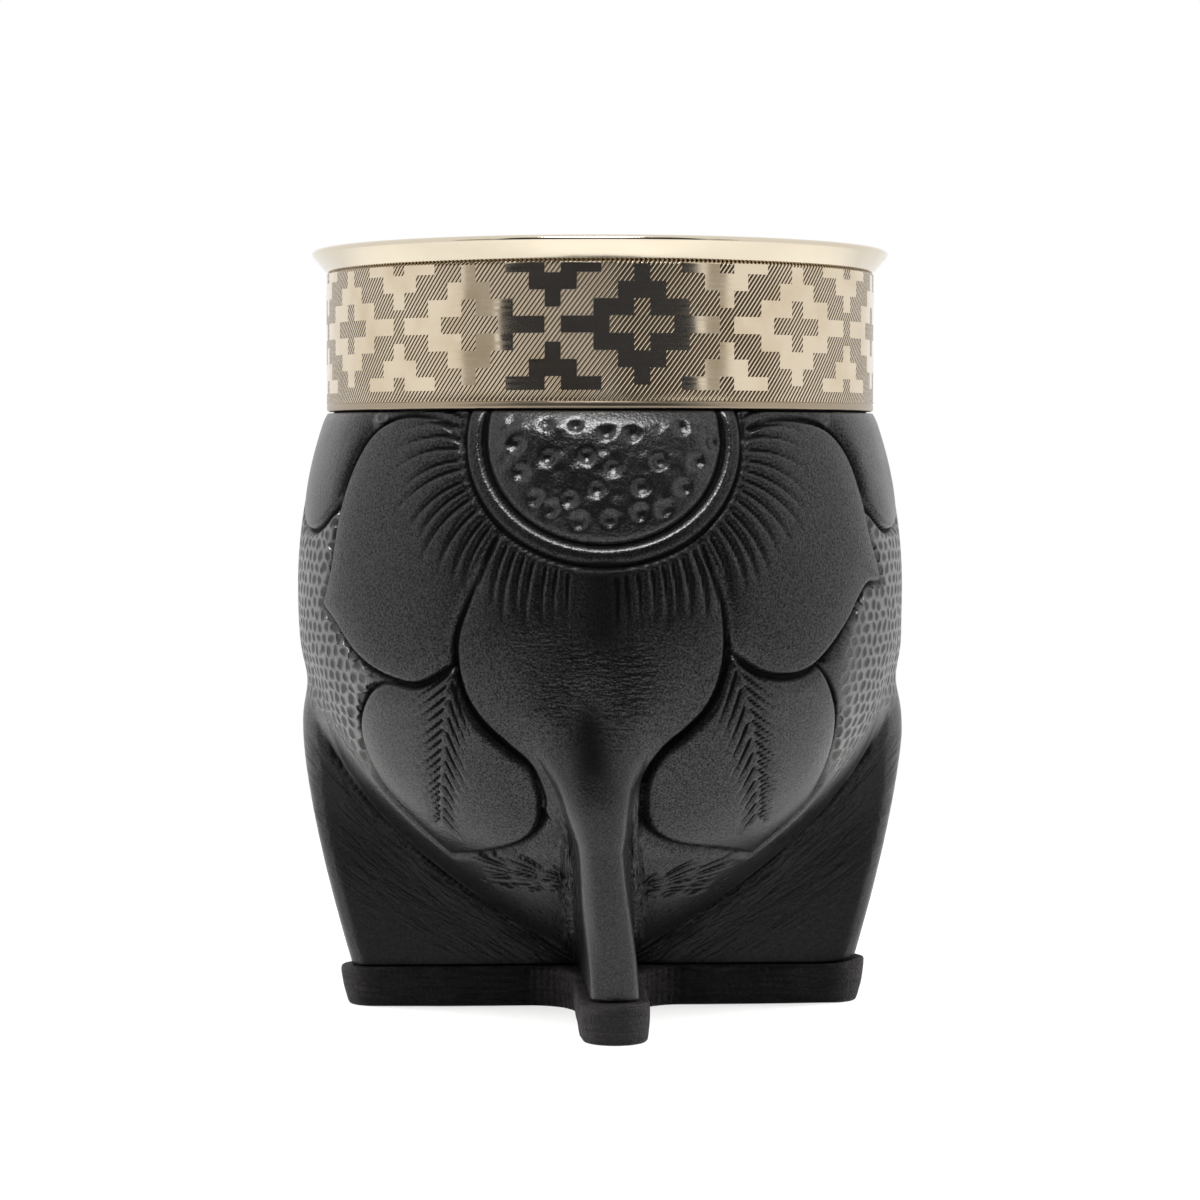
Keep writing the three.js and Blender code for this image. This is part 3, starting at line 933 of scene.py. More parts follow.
        sector = 2 * np.pi / self.sizes.leg_count
        swing = np.abs(azimuth - np.round(azimuth / sector) * sector)
        lowest = self.scales_foot - self.scales_dip * smooth_step(swing, 0.12, 0.55)
        lowest = lowest + 1.2 * wobble(arc, 13.0, 0.6)
        ground = ground * smooth_step(ray, self.outer_ring + 5, self.outer_ring + 8)
        ground = ground * self.scales_sides.at(np.abs(arc)) * smooth_step(z, lowest - 4, lowest + 3)
        ground = ground * self.scales_off.at(back) * self.scales_top.at(z)
        wrinkle = smooth_step(z, 36.0, 46.0) * smooth_step(z, 60.0, 52.0)
        wrinkle = wrinkle * smooth_step(np.abs(arc + 3), 14.0, 6.0)
        # Painted highlight: more sheen on the leaves, the sides and the disc, less on the ring's band.
        leaves = smooth_step(np.abs(arc), 12.0, 34.0) * smooth_step(z, 51.0, 46.0)
        sides = smooth_step(np.abs(arc), 42.0, 52.0)
        polish = self.polish * np.maximum.reduce([leaves, sides, in_disc - band])
        return Relief(height, cut_and_shade, ground, wrinkle, polish)


@dataclass(frozen=True)
class BridleLeather:
    """Vegetable-tanned hide, wet-moulded, tooled, dyed black and waxed: a near-black satin with fine pores.

    The tooled cuts hold more dye and no polish, so they read darker and duller than the rubbed crests; the same
    share also paints shade into grooves, bevels, creases, hollows and the pocket.
    Pattern sizes and depths are in millimetres; the real grain is finer than the pores here, which are drawn
    coarser so that a picture can show them.
    """

    dye: str = "#060506"
    cut_and_shade_dye: str = "#020202"
    rubbed: str = "#0a090a"
    roughness: float = 0.29
    cut_roughness: float = 0.6
    cut_and_shade_sheen: float = 0.06
    cut_drop: float = 0.08
    wax_index: float = 1.47
    pore: float = 0.36
    pore_depth: float = 0.035
    grain: float = 0.26
    grain_depth: float = 0.025
    grain_sheen: tuple[float, float] = (0.11, 0.74)
    mottle: float = 11.0
    leg_sheen: float = 0.4
    leg_rubbed: float = 0.55
    rubbing_and_highlight_gain: float = 0.5
    scale_width: float = 2.05
    scale_height: float = 1.6
    scale_shake: float = 2.8
    scale_stretch: tuple[float, float, float] = (1.2, 0.85, 1.0)
    scale_middle: tuple[float, float, float] = (0.6, 0.425, 0.0)
    scale_depth: float = 0.36
    scale_shade: float = 0.75
    # Extra sheen on the stamped ground, partly a painted highlight for the brightly lit sides.
    scale_sheen: float = 2.15
    folds_per_mm: float = 0.62
    folds_per_metre: float = 210.0
    fold_depth: float = 0.9
    fold_shade: float = 0.85
    wave: tuple[float, float, float] = (1.5, 0.55, METRE)
    wave_depth: float = 0.13

    def scales(self, shader: Shader, across: Socket, up: Socket) -> Socket:
        """Stamped scales: cells in staggered rows, shaken by noise, each a soft spot in its cell's middle.

        Args:
            shader: The leather in the making.
            across: Arc in metres.
            up: Height in metres.

        Returns:
            0 in a scale's middle, 1 between the scales.
        """
        shaken = shader.noise(shader.place(), self.scale_shake, 1.0)
        tall = shader.sum("MULTIPLY_ADD", up, per_metre(self.scale_height), shaken)
        odd = shader.sum("FLOORED_MODULO", shader.sum("FLOOR", tall), 2.0)
        shift = shader.sum("MULTIPLY_ADD", odd, 0.5, shaken)
        wide = shader.sum("MULTIPLY_ADD", across, per_metre(self.scale_width), shift)
        cell = shader.joined(shader.sum("FRACT", wide), shader.sum("FRACT", tall))
        longer = shader.vector("MULTIPLY", "Vector", cell, self.scale_stretch)
        off = shader.vector("DISTANCE", "Value", longer, self.scale_middle)
        return shader.ramp(off, 0.2, 0.58, kind="SMOOTHSTEP")

    def make(self) -> bpy.types.Material:
        """Builds the material; long folds run beside the creases, short waves where the petal meets the leg.

        Returns:
            The leather.
        """
        shader = Shader("black_bridle_leather")
        place, unrolled = shader.place(), shader.unrolled()
        titles = ("cut_and_shade", "ground", "wrinkle", "crease", "beside_crease", "rubbing_and_highlight")
        worked, ground, wrinkle, crease, beside, rubbing_and_highlight = (shader.field(title) for title in titles)
        parts = add_node(shader.tree, "ShaderNodeSeparateXYZ", {"Vector": unrolled}).outputs
        spots = {"Vector": place, "Scale": per_metre(self.pore)}
        cells = add_node(shader.tree, "ShaderNodeTexVoronoi", spots, feature="SMOOTH_F1")
        pores = cells.outputs["Distance"]
        grain = shader.noise(place, self.grain, 3.0)
        mottle = shader.noise(place, self.mottle, 4.0)
        scales = self.scales(shader, parts["X"], parts["Y"])
        fold_x = shader.sum("MULTIPLY", beside, self.folds_per_mm)
        fold_y = shader.sum("MULTIPLY", parts["Y"], self.folds_per_metre)
        folds = shader.noise(shader.joined(fold_x, fold_y), METRE, 3.0, 1.6)
        waves = shader.noise(shader.drawn(unrolled, *self.wave), METRE, 2.0, 0.25)

        height = shader.sum("MULTIPLY", pores, self.pore_depth)
        height = shader.sum("MULTIPLY_ADD", grain, self.grain_depth, height)
        for pattern, share, depth in (
            (scales, ground, self.scale_depth),
            (folds, crease, self.fold_depth),
            (waves, wrinkle, self.wave_depth),
        ):
            height = shader.sum("MULTIPLY_ADD", pattern, shader.sum("MULTIPLY", share, depth), height)
        height = shader.sum("MULTIPLY_ADD", worked, -self.cut_drop, height)

        # Dye held in the cuts, and painted shade in grooves, bevels, creases, hollows and the pocket, both
        # darken the colour and drop the sheen.
        cut_and_shade = shader.ramp(worked, 0.25, 0.75, kind="SMOOTHSTEP")
        # Painted shade in the folds' valleys and in the stamped scales' sunken middles.
        for pattern, share, low, high, most in (
            (folds, crease, 0.36, 0.5, self.fold_shade), (scales, ground, 0.0, 0.8, self.scale_shade)
        ):
            dark = shader.sum("MULTIPLY", shader.ramp(pattern, low, high, most, 0.0), share)
            cut_and_shade = shader.sum("MAXIMUM", cut_and_shade, dark)
        hide = shader.tint(mottle, self.dye, self.rubbed)
        polish = shader.ramp(mottle, 0.3, 0.7, self.roughness - 0.05, self.roughness + 0.07)
        on_leg = shader.ramp(beside, -1.0, -4.0, 0.0, self.leg_rubbed)
        sheen = shader.mix(on_leg, shader.ramp(grain, 0.34, 0.66, *self.grain_sheen), self.leg_sheen)
        # Sheen raised on the stamped ground, and by the rubbing and highlight share: rubbed leg corners with
        # painted highlight, and painted highlight on the leaves, sides and disc.
        for share, gain in ((ground, self.scale_sheen), (rubbing_and_highlight, self.rubbing_and_highlight_gain)):
            sheen = shader.sum("MULTIPLY_ADD", share, gain, sheen)
        return shader.surface({
            "Base Color": shader.tint(cut_and_shade, hide, self.cut_and_shade_dye),
            "Roughness": shader.mix(cut_and_shade, polish, self.cut_roughness),
            "Specular IOR Level": shader.mix(cut_and_shade, sheen, self.cut_and_shade_sheen),
            "IOR": self.wax_index,
            "Normal": shader.bump(height),
        })


@dataclass
class LeatherCover:
    """The moulded leather: pocket, four pinched legs, tooled face, edge under the band, flesh side."""

    sizes: MateSizes
    bulge_reach: float = 42.4
    bulge_z: float = 38.5
    taper: float = 1.45
    dive: float = 6.0
    straight: float = 15.0
    pinch: float = 0.32
    pinch_z: float = 26.0
    pinch_half: float = 6.0
    spread: float = 3.2
    widest: float = 1.3
    lean: float = 3.4
    foot_right: float = 0.5
    foot_fade: Fade = Fade(21.0, 8.0)
    legs_right: float = 0.45
    round_share: float = 0.75
    blend: float = 4.0
    seam_depth: float = 0.9
    seam_half: float = 2.8
    crack_depth: float = 0.7
    crack_half: float = 0.9
    crack_fade: Fade = Fade(44.0, 34.0)
    hollow_depth: float = 0.6
    hollow_half: float = 3.4
    hollow_shade: float = 0.64
    waist_depth: float = 0.9
    waist_z: float = 46.3
    waist_half: float = 3.6
    waist_fade: Fade = Fade(0.45, 0.15)
    corner_rubbing_and_highlight: tuple[float, float] = (1.0, 0.08)
    flank_shade: float = 0.53
    streak_share: float = 0.36
    bare_shade: float = 0.63
    bare_top: float = 64.0
    left_shade: float = 0.32
    columns: int = 414
    leg_rows: int = 60
    tooled_rows: int = 160
    tooled_from: float = 23.0
    finish: BridleLeather = BridleLeather()
    tooling: FlowerTooling = field(init=False)

    def __post_init__(self) -> None:
        """Lays the flower out on this cover."""
        self.tooling = FlowerTooling(self.sizes)

    def leg_reach(self, z: np.ndarray) -> np.ndarray:
        """Axis to fold: a power curve from the bulge in to the foot, a square one into the belly above."""
        s = self.sizes
        fall = np.clip((self.bulge_z - z) / (self.bulge_z - s.sole_top), 0, None)
        rise = np.clip((z - self.bulge_z) / (s.belly_z - self.bulge_z), 0, None)
        below = (self.bulge_reach - s.foot_reach) * fall**self.taper
        above = (self.bulge_reach - s.belly_radius + self.dive) * rise**2
        return self.bulge_reach - below - above

    def leg_half(self, z: np.ndarray) -> np.ndarray:
        """Half thickness of a leg: even at the foot, pinched above it, then growing by the cube of the rise."""
        s = self.sizes
        rise = (z - s.sole_top - self.straight) / (self.bulge_z - s.sole_top - self.straight)
        pinched = self.pinch * bell(z - self.pinch_z, self.pinch_half)
        return s.leg_half - pinched + self.spread * np.clip(rise, 0, self.widest) ** 3

    def leg_swing(self, azimuth: np.ndarray, z: np.ndarray) -> np.ndarray:
        """Turn from the nearest leg's middle; the front leg leans left from a foot set to the right."""
        sector = 2 * np.pi / self.sizes.leg_count
        rise = np.clip(z - self.sizes.sole_top, 0, self.bulge_z) / self.bulge_z
        foot = self.foot_right / self.sizes.foot_reach * self.foot_fade.at(z)
        leaning = self.lean / self.bulge_reach * rise - foot
        return azimuth - np.round(azimuth / sector) * sector + leaning * (np.abs(azimuth) < sector / 2)

    def depth_of(self, radius: np.ndarray, azimuth: np.ndarray, z: np.ndarray) -> tuple[np.ndarray, ...]:
        """Signed depth inside the cover's outside, and how far a place is from the crease beside a leg.

        The leg is a bar with rounded corners, and the two side legs stand a little to the right; the pocket
        is a turned form. The smaller distance is taken, less a quarter of the blend times the square of their
        overlap, which softens the crease.

        Args:
            radius: Distance from the axis.
            azimuth: Turn from the front leg.
            z: Height.

        Returns:
            The distance to the surface, and the leg's distance less the pocket's.
        """
        swing = self.leg_swing(azimuth, z)
        half = self.leg_half(z)
        corner = self.round_share * half
        out = radius * np.cos(swing) - (self.leg_reach(z) + self.legs_right * np.sin(azimuth) - corner)
        side = np.abs(radius * np.sin(swing)) - (half - corner)
        beyond = np.hypot(np.maximum(out, 0), np.maximum(side, 0))
        within = np.minimum(np.maximum(out, side), 0)
        leg = beyond + within - corner
        pocket = radius - self.tooling.belly(z)
        overlap = np.maximum(self.blend - np.abs(leg - pocket), 0) / self.blend
        return np.minimum(leg, pocket) - overlap**2 * self.blend / 4, leg - pocket

    def handling(self, radius: np.ndarray, azimuth: np.ndarray, z: np.ndarray) -> tuple[np.ndarray, ...]:
        """Marks that pinching and use leave on the legs.

        A hand polishes a leg's two outer corners, which also carry a painted highlight, the left one most; the
        flanks get painted shade. Where the front leg runs out into the petal above it, the fold parts round a
        hollow.

        Args:
            radius: Distance from the axis.
            azimuth: Turn from the front leg.
            z: Height.

        Returns:
            Shares of polish with painted highlight, of painted shade on the flanks and of the hollow.
        """
        half = self.leg_half(z)
        offset = radius * np.sin(self.leg_swing(azimuth, z))
        side = np.abs(offset)
        front = smooth_step(np.abs(azimuth), 0.8, 0.6)
        corner = bell(side - 0.78 * half, 0.8) * smooth_step(z, 9.0, 18.0) * smooth_step(z, 37.0, 28.0)
        flank = smooth_step(side / half, 0.86, 0.98)
        flank = flank * smooth_step(z, 48.0 - 11.0 * front, 40.0 - 12.0 * front)
        hollow = front * bell(side, self.hollow_half)
        hollow = hollow * smooth_step(z, 31.0, 38.0) * smooth_step(z, 52.0, 42.0)
        # Corners get rubbing with a painted highlight, the left one strongest.
        return corner * np.where(offset < 0, *self.corner_rubbing_and_highlight), flank, hollow

    def creases(self, azimuth: np.ndarray, z: np.ndarray, beside: np.ndarray) -> np.ndarray:
        """Share of folds in the leather, most at the crease beside a leg.

        They thin out on the pocket, under the flower and on a leg's own fold; fainter streaks run in patches
        over the side legs' flanks.

        Args:
            azimuth: Turn from the front leg.
            z: Height.
            beside: How far each place is from the crease.

        Returns:
            Shares from 0 to 1.
        """
        away = np.abs(azimuth)
        crease = smooth_step(np.abs(beside), np.where(beside < 0, 8.5, 7.0), 0.5) * smooth_step(z, 62.0, 48.0)
        crease *= 1 - 0.75 * smooth_step(beside, 0.0, 3.0) * smooth_step(z, 22.0, 30.0)
        crease *= 1 - smooth_step(z, 26.0, 36.0) * smooth_step(away, 0.7, 0.5)
        crease *= 1 - smooth_step(z, 32.0, 40.0) * smooth_step(np.abs(self.leg_swing(azimuth, z)), 0.42, 0.25)
        streaks = smooth_step(-beside, 0.0, 2.0) * smooth_step(-beside, 24.0, 9.0)
        streaks = streaks * smooth_step(away, 0.8, 1.0)
        patchy = 0.55 + 0.45 * wobble(z + 0.7 * beside, 9.0, 0.4) * wobble(beside - 0.3 * z, 6.0, 1.3)
        return np.maximum(crease, self.streak_share * streaks * patchy * smooth_step(z, 44.0, 36.0))

    def painted_shade(self, azimuth: np.ndarray, z: np.ndarray, beside: np.ndarray) -> np.ndarray:
        """Share of painted shade: low in the pocket, under the ring, a little on the left petal.

        Args:
            azimuth: Turn from the front leg.
            z: Height.
            beside: How far each place is from the crease beside a leg.

        Returns:
            Shares from 0 to 1.
        """
        arc = azimuth * self.sizes.belly_radius
        # Painted shade in the pocket, on the patch under the ring and on the left petal.
        pocket = (0.4 + 0.2 * smooth_step(z, 20.0, 12.0)) * smooth_step(z, 26.0, 23.0)
        pocket = pocket * smooth_step(beside, 0.5, 2.5)
        bare = self.bare_shade * bell(arc + 1.5, 6.0) * smooth_step(z, 47.0, 55.0) * (z < self.bare_top)
        left = self.left_shade * smooth_step(arc, -14.0, -24.0) * smooth_step(z, 52.0, 58.0)
        left = left * (np.abs(azimuth) < 1.1)
        return np.maximum.reduce([pocket, bare, left])

    def outside(self, azimuth: np.ndarray, z: np.ndarray) -> tuple[np.ndarray, np.ndarray]:
        """Radius of the outside, by halving between the axis and a place outside, less the seam's hollow.

        Args:
            azimuth: Turn from the front leg.
            z: Height, of a shape that goes with the azimuth's.

        Returns:
            The radius, and how far each place is from the crease beside a leg.
        """
        azimuth, z = np.broadcast_arrays(azimuth, z)
        inner, outer = np.zeros(azimuth.shape), np.full(azimuth.shape, 2 * self.sizes.belly_radius)
        for _ in range(34):
            middle = (inner + outer) / 2
            within = self.depth_of(middle, azimuth, z)[0] < 0
            inner, outer = np.where(within, middle, inner), np.where(within, outer, middle)
        beside = self.depth_of(inner, azimuth, z)[1]
        away = np.clip(np.abs(inner * np.sin(azimuth)) / self.seam_half, 0, 1)
        hollow = self.seam_depth * np.cos(away * np.pi / 2) ** 2 * (np.cos(azimuth) < 0)
        return inner - hollow, beside

    def row_heights(self) -> np.ndarray:
        """Heights of the rows, wide apart at the foot, and slightly closer together towards the band.

        Returns:
            Heights from the sole to the band.
        """
        s = self.sizes
        low = np.linspace(0, 1, self.leg_rows, endpoint=False)
        low = s.sole_top + (self.tooled_from - s.sole_top) * (1.5 * low - 0.5 * low**2)
        high = np.linspace(0, 1, self.tooled_rows)
        high = self.tooled_from + (s.band_bottom - s.fit - self.tooled_from) * (1.1 * high - 0.1 * high**2)
        return np.concatenate([low, high])

    def column_turns(self, heights: np.ndarray) -> np.ndarray:
        """Azimuths of every row's columns, at equal shares of its length, which counts most at the flower.

        Args:
            heights: Height of each row.

        Returns:
            Azimuths as rows by columns.
        """
        sector = 2 * np.pi / self.sizes.leg_count
        share = np.linspace(-1, 1, 401)[:-1]
        leg = np.sign(share) * np.abs(share) ** 2.2 * sector / 2
        fine = np.concatenate([leg + turn * sector for turn in range(-2, 3)])
        fine = np.unique(np.clip(fine, -np.pi, np.pi))
        radius = self.outside(fine[None], heights[:, None])[0]
        points = around(radius, fine[None], heights[:, None])
        length = np.linalg.norm(np.diff(points, axis=1), axis=-1)
        middle = np.abs(fine[1:] + fine[:-1]) / 2
        fold = bell(np.mod(middle + sector / 2, sector) - sector / 2, 0.18) * (middle > 1)
        flower = 0.2 + 0.3 * smooth_step(middle, 1.65, 1.5) + 0.5 * smooth_step(middle, 1.22, 1.12)
        seam = bell(np.pi - middle, 0.09)
        weighed = length * np.maximum.reduce([flower, 0.45 * fold, 0.9 * seam])[None]
        total = np.pad(np.cumsum(weighed, 1), ((0, 0), (1, 0)))
        shares = np.arange(self.columns) / self.columns
        return np.stack([np.interp(shares, line / line[-1], fine) for line in total])

    def outer_rows(self) -> tuple[np.ndarray, dict[str, np.ndarray], np.ndarray, np.ndarray]:
        """The tooled outside from sole to band: the plain form moved along its normals by the relief.

        Returns:
            Points, the finish's fields, azimuths and heights, each by row and column.
        """
        heights = self.row_heights()
        azimuth = self.column_turns(heights)
        z = np.repeat(heights[:, None], self.columns, 1)
        radius, beside = self.outside(azimuth, z)
        points = around(radius, azimuth, z)
        along = np.roll(points, -1, 1) - np.roll(points, 1, 1)
        normal = np.cross(along, np.gradient(points, axis=0))
        normal /= np.linalg.norm(normal, axis=-1, keepdims=True)
        relief = self.tooling.work(azimuth, z)
        corner, flank, hollow = self.handling(radius, azimuth, z)
        # The crack beside each crease is sunk into the surface and also takes painted shade through the cut
        # share.
        crack = bell(beside, self.crack_half) * self.crack_fade.at(z) * (0.75 + 0.25 * wobble(z, 17.0, 1.0))
        crack *= 0.3 + 0.7 * smooth_step(np.abs(azimuth), 0.5, 0.8)
        off_side = np.abs(np.abs(azimuth) - np.pi / 2)
        waist = bell(z - self.waist_z, self.waist_half) * self.waist_fade.at(off_side)
        height = relief.height - self.crack_depth * crack - self.hollow_depth * hollow
        height = height - self.waist_depth * waist
        foot = smooth_step(z, self.sizes.sole_top + 1, self.sizes.sole_top + 5)
        points = points + normal * (height * foot)[..., None]
        # Painted shade on the side legs' flanks.
        flank = self.flank_shade * flank * smooth_step(beside, 1.5, -0.5)
        # Painted shade also fills the hollow over the front leg.
        dull = [self.painted_shade(azimuth, z, beside), flank, self.hollow_shade * hollow]
        fields = {
            "cut_and_shade": np.maximum.reduce([relief.cut_and_shade, crack, *dull]),
            "ground": relief.ground,
            "wrinkle": relief.wrinkle,
            "crease": self.creases(azimuth, z, beside),
            "beside_crease": np.clip(beside, -20, 20),
            "rubbing_and_highlight": np.maximum(corner * smooth_step(beside, 0.5, -1.5), relief.polish),
        }
        return points, fields, azimuth, z

    def build(self) -> bpy.types.Object:
        """Makes the whole closed sheet: sole side, tooled outside, thinned edge under the band, flesh side.

        Returns:
            The cover.
        """
        s = self.sizes
        points, fields, azimuth, z = self.outer_rows()
        tuck_radius, inner_radius = s.band_inner - s.fit, s.neck_radius + s.fit
        tuck_top = s.band_bottom + s.tuck
        edge = np.array([
            (tuck_radius + 0.3, s.band_bottom - s.fit), (tuck_radius, s.band_bottom),
            (tuck_radius, tuck_top - 0.5), (tuck_radius - 0.4, tuck_top), (inner_radius + 0.4, tuck_top),
            (inner_radius, tuck_top - 0.5), (inner_radius, s.band_bottom),
        ])
        flesh_z = np.array([74.0, 64.0, 52.0, 38.0, 26.0, 17.0, 12.4])
        flesh = np.stack([s.gourd_outside(flesh_z + s.fit) + s.fit, flesh_z], -1)
        lining = np.vstack([edge, flesh])
        inside = around(lining[:, :1], azimuth[-1:], lining[:, 1:])
        base = points[0] * np.array([0.5, 0.5, 1.0])
        rows = np.concatenate([base[None], points, inside])
        more = (1, len(lining))
        fields = {name: np.pad(values, (more, (0, 0)), mode="edge") for name, values in fields.items()}
        arcs = np.pad(azimuth * s.belly_radius, (more, (0, 0)), mode="edge")
        arcs = np.hstack([arcs, np.full((len(arcs), 1), np.pi * s.belly_radius)])
        levels = np.pad(z, (more, (0, 1)), mode="edge")
        piece = skin("leather_cover_tooled", rows, Ends.POLES, np.stack([arcs, levels], -1), fields)
        return dress(piece, self.finish.make())


@dataclass(frozen=True)
class SoleLeather:
    """Two thicknesses of sole bend, cut by hand, glued and blacked: dull, with fibres along its edge."""

    dye: str = "#0a090a"
    worn: str = "#1b1919"
    roughness: float = 0.66
    sheen: float = 0.08
    rubbed: float = 0.2
    toe_highlight_from: float = 32.0
    toe_highlight_to: float = 36.0
    layer: float = 0.5
    layer_depth: float = 0.3
    fibre: float = 5.0
    nap: float = 0.4
    nap_depth: float = 0.22

    def make(self) -> bpy.types.Material:
        """Builds the material; streaks are noise drawn out along the edge, and the toes' ends get a painted
        highlight.

        Returns:
            The sole leather.
        """
        shader = Shader("blacked_sole_leather")
        place = shader.place()
        layers = shader.noise(shader.drawn(place, self.fibre, self.fibre, self.layer), METRE, 4.0)
        nap = shader.noise(place, self.nap, 3.0)
        share = shader.ramp(shader.sum("MULTIPLY", layers, nap), 0.15, 0.42)
        height = shader.sum("MULTIPLY", layers, self.layer_depth)
        height = shader.sum("MULTIPLY_ADD", nap, self.nap_depth, height)
        out = shader.vector("LENGTH", "Value", place)
        # More sheen on the toes' ends: a painted highlight.
        sheen = shader.ramp(out, self.toe_highlight_from * MM, self.toe_highlight_to * MM, self.sheen, self.rubbed)
        return shader.surface({
            "Base Color": shader.tint(share, self.dye, self.worn),
            "Roughness": self.roughness,
            "Specular IOR Level": sheen,
            "Normal": shader.bump(height),
        })


@dataclass
class LeatherSole:
    """The cross-shaped sole: a rounded toe under each leg, round valleys between, a hand-cut edge."""

    sizes: MateSizes
    welt: float = 1.6
    valley: float = 6.0
    knife_step: float = 1.9
    knife_depth: float = 0.14
    set_right: float = 0.45
    slant: float = 0.9
    slant_middle: float = 0.6
    slant_fade: Fade = Fade(20.0, 34.0)
    upturn: float = 0.7
    upturn_fade: Fade = Fade(30.0, 37.0)
    dip: float = 0.12
    toe_steps: int = 30
    side_steps: int = 26
    valley_steps: int = 44
    finish: SoleLeather = SoleLeather()

    def outline(self) -> tuple[np.ndarray, np.ndarray]:
        """The plan: a half circle round a toe, a straight side, a quarter turn in the valley, a side back.

        Returns:
            Points and outward normals, once round, turning left.
        """
        s = self.sizes
        half = s.leg_half + self.welt
        toe = s.foot_reach + self.welt - half
        sector = 2 * np.pi / s.leg_count
        middle = (half + self.valley) / np.sin(sector / 2)
        toe_normals = unit(np.linspace(-np.pi / 2, np.pi / 2, self.toe_steps))
        toe_points = np.array([toe, 0.0]) + half * toe_normals
        sweep = unit(np.linspace(-np.pi / 2, sector - np.pi * 1.5, self.valley_steps))
        valley_points = middle * unit(np.array(sector / 2)) + self.valley * sweep
        along = np.linspace(0, 1, self.side_steps + 2)[1:-1, None]
        side = toe_points[-1] + along * (valley_points[0] - toe_points[-1])
        swing = np.array([[np.cos(sector), np.sin(sector)], [-np.sin(sector), np.cos(sector)]])
        following = toe_points[0] @ swing
        back = valley_points[-1] + along * (following - valley_points[-1])
        points = np.vstack([toe_points, side, valley_points, back])
        side_normals = np.repeat(toe_normals[-1:], self.side_steps, 0)
        back_normals = np.repeat(-sweep[-1:], self.side_steps, 0)
        normals = np.vstack([toe_normals, side_normals, -sweep, back_normals])
        turns = np.arange(s.leg_count) * sector - np.pi / 2
        spin = np.stack([unit(turns), np.stack([-np.sin(turns), np.cos(turns)], -1)], 1)
        return (points @ spin).reshape(-1, 2), (normals @ spin).reshape(-1, 2)

    def build(self) -> bpy.types.Object:
        """Carries the edge's profile along the plan, wavering as a knife does and ticked in the valleys.

        The profile gives inset, height and share of the waver. At the side toes the cut slants in towards the
        table, and the right toe's upper edge turns up.

        Returns:
            The sole.
        """
        top = self.sizes.sole_top
        plan, normal = self.outline()
        plan = plan + np.array([self.set_right, 0.0])
        travel = np.concatenate([[0], np.cumsum(np.linalg.norm(np.diff(plan, axis=0), axis=1))])
        lap = travel[-1] + np.linalg.norm(plan[0] - plan[-1])
        profile = np.array([
            (2.4, 0.0, 0.0), (1.0, 0.0, 0.2), (0.5, 0.08, 0.6), (0.28, 0.3, 1.0), (0.18, 0.85, 1.0),
            (0.12, 1.7, 0.8), (0.07, 2.45, 0.6), (0.03, 3.2, 0.7), (0.0, 4.0, 0.8), (0.0, 4.8, 0.9),
            (0.05, 5.25, 1.0), (0.2, 5.5, 0.9), (0.5, top - 0.02, 0.6), (1.2, top, 0.2), (3.0, top, 0.0),
        ])
        inward, up, loose = profile[:, :1], profile[:, 1:2], profile[:, 2:]
        waver = 0.16 + 0.16 * wobble(travel, lap / 9, 0.4) + 0.07 * wobble(travel, lap / 41, 1.3)
        ahead = np.roll(normal, -1, 0)
        hollow = (normal[:, 0] * ahead[:, 1] - normal[:, 1] * ahead[:, 0]) < -1e-4
        waver = waver + self.knife_depth * hollow * np.sin(2 * np.pi * travel / self.knife_step) ** 2
        slanted = self.slant * (self.slant_middle - up / top) * self.slant_fade.at(np.abs(plan[:, 0]))
        inset = inward + loose * waver + slanted * (inward < 2)
        flat = plan[None] - inset[..., None] * normal[None]
        height = up - self.dip * loose * (wobble(travel, lap / 13, 2.2) + 1) * (up > 4.5)
        edge = smooth_step(up, 3.0, top) * smooth_step(inward, 1.2, 0.4)
        height = height + self.upturn * edge * self.upturn_fade.at(plan[:, 0])
        piece = skin("leather_sole_cut", np.concatenate([flat, height[..., None]], -1), Ends.POLES)
        return dress(piece, self.finish.make())


class AlpacaWork(Enum):
    """How a face of the nickel silver was worked."""

    POLISHED = "polished_nickel_silver"
    HATCHED = "hatched_nickel_silver"
    SATIN = "satin_nickel_silver"
    SPUN = "spun_nickel_silver"


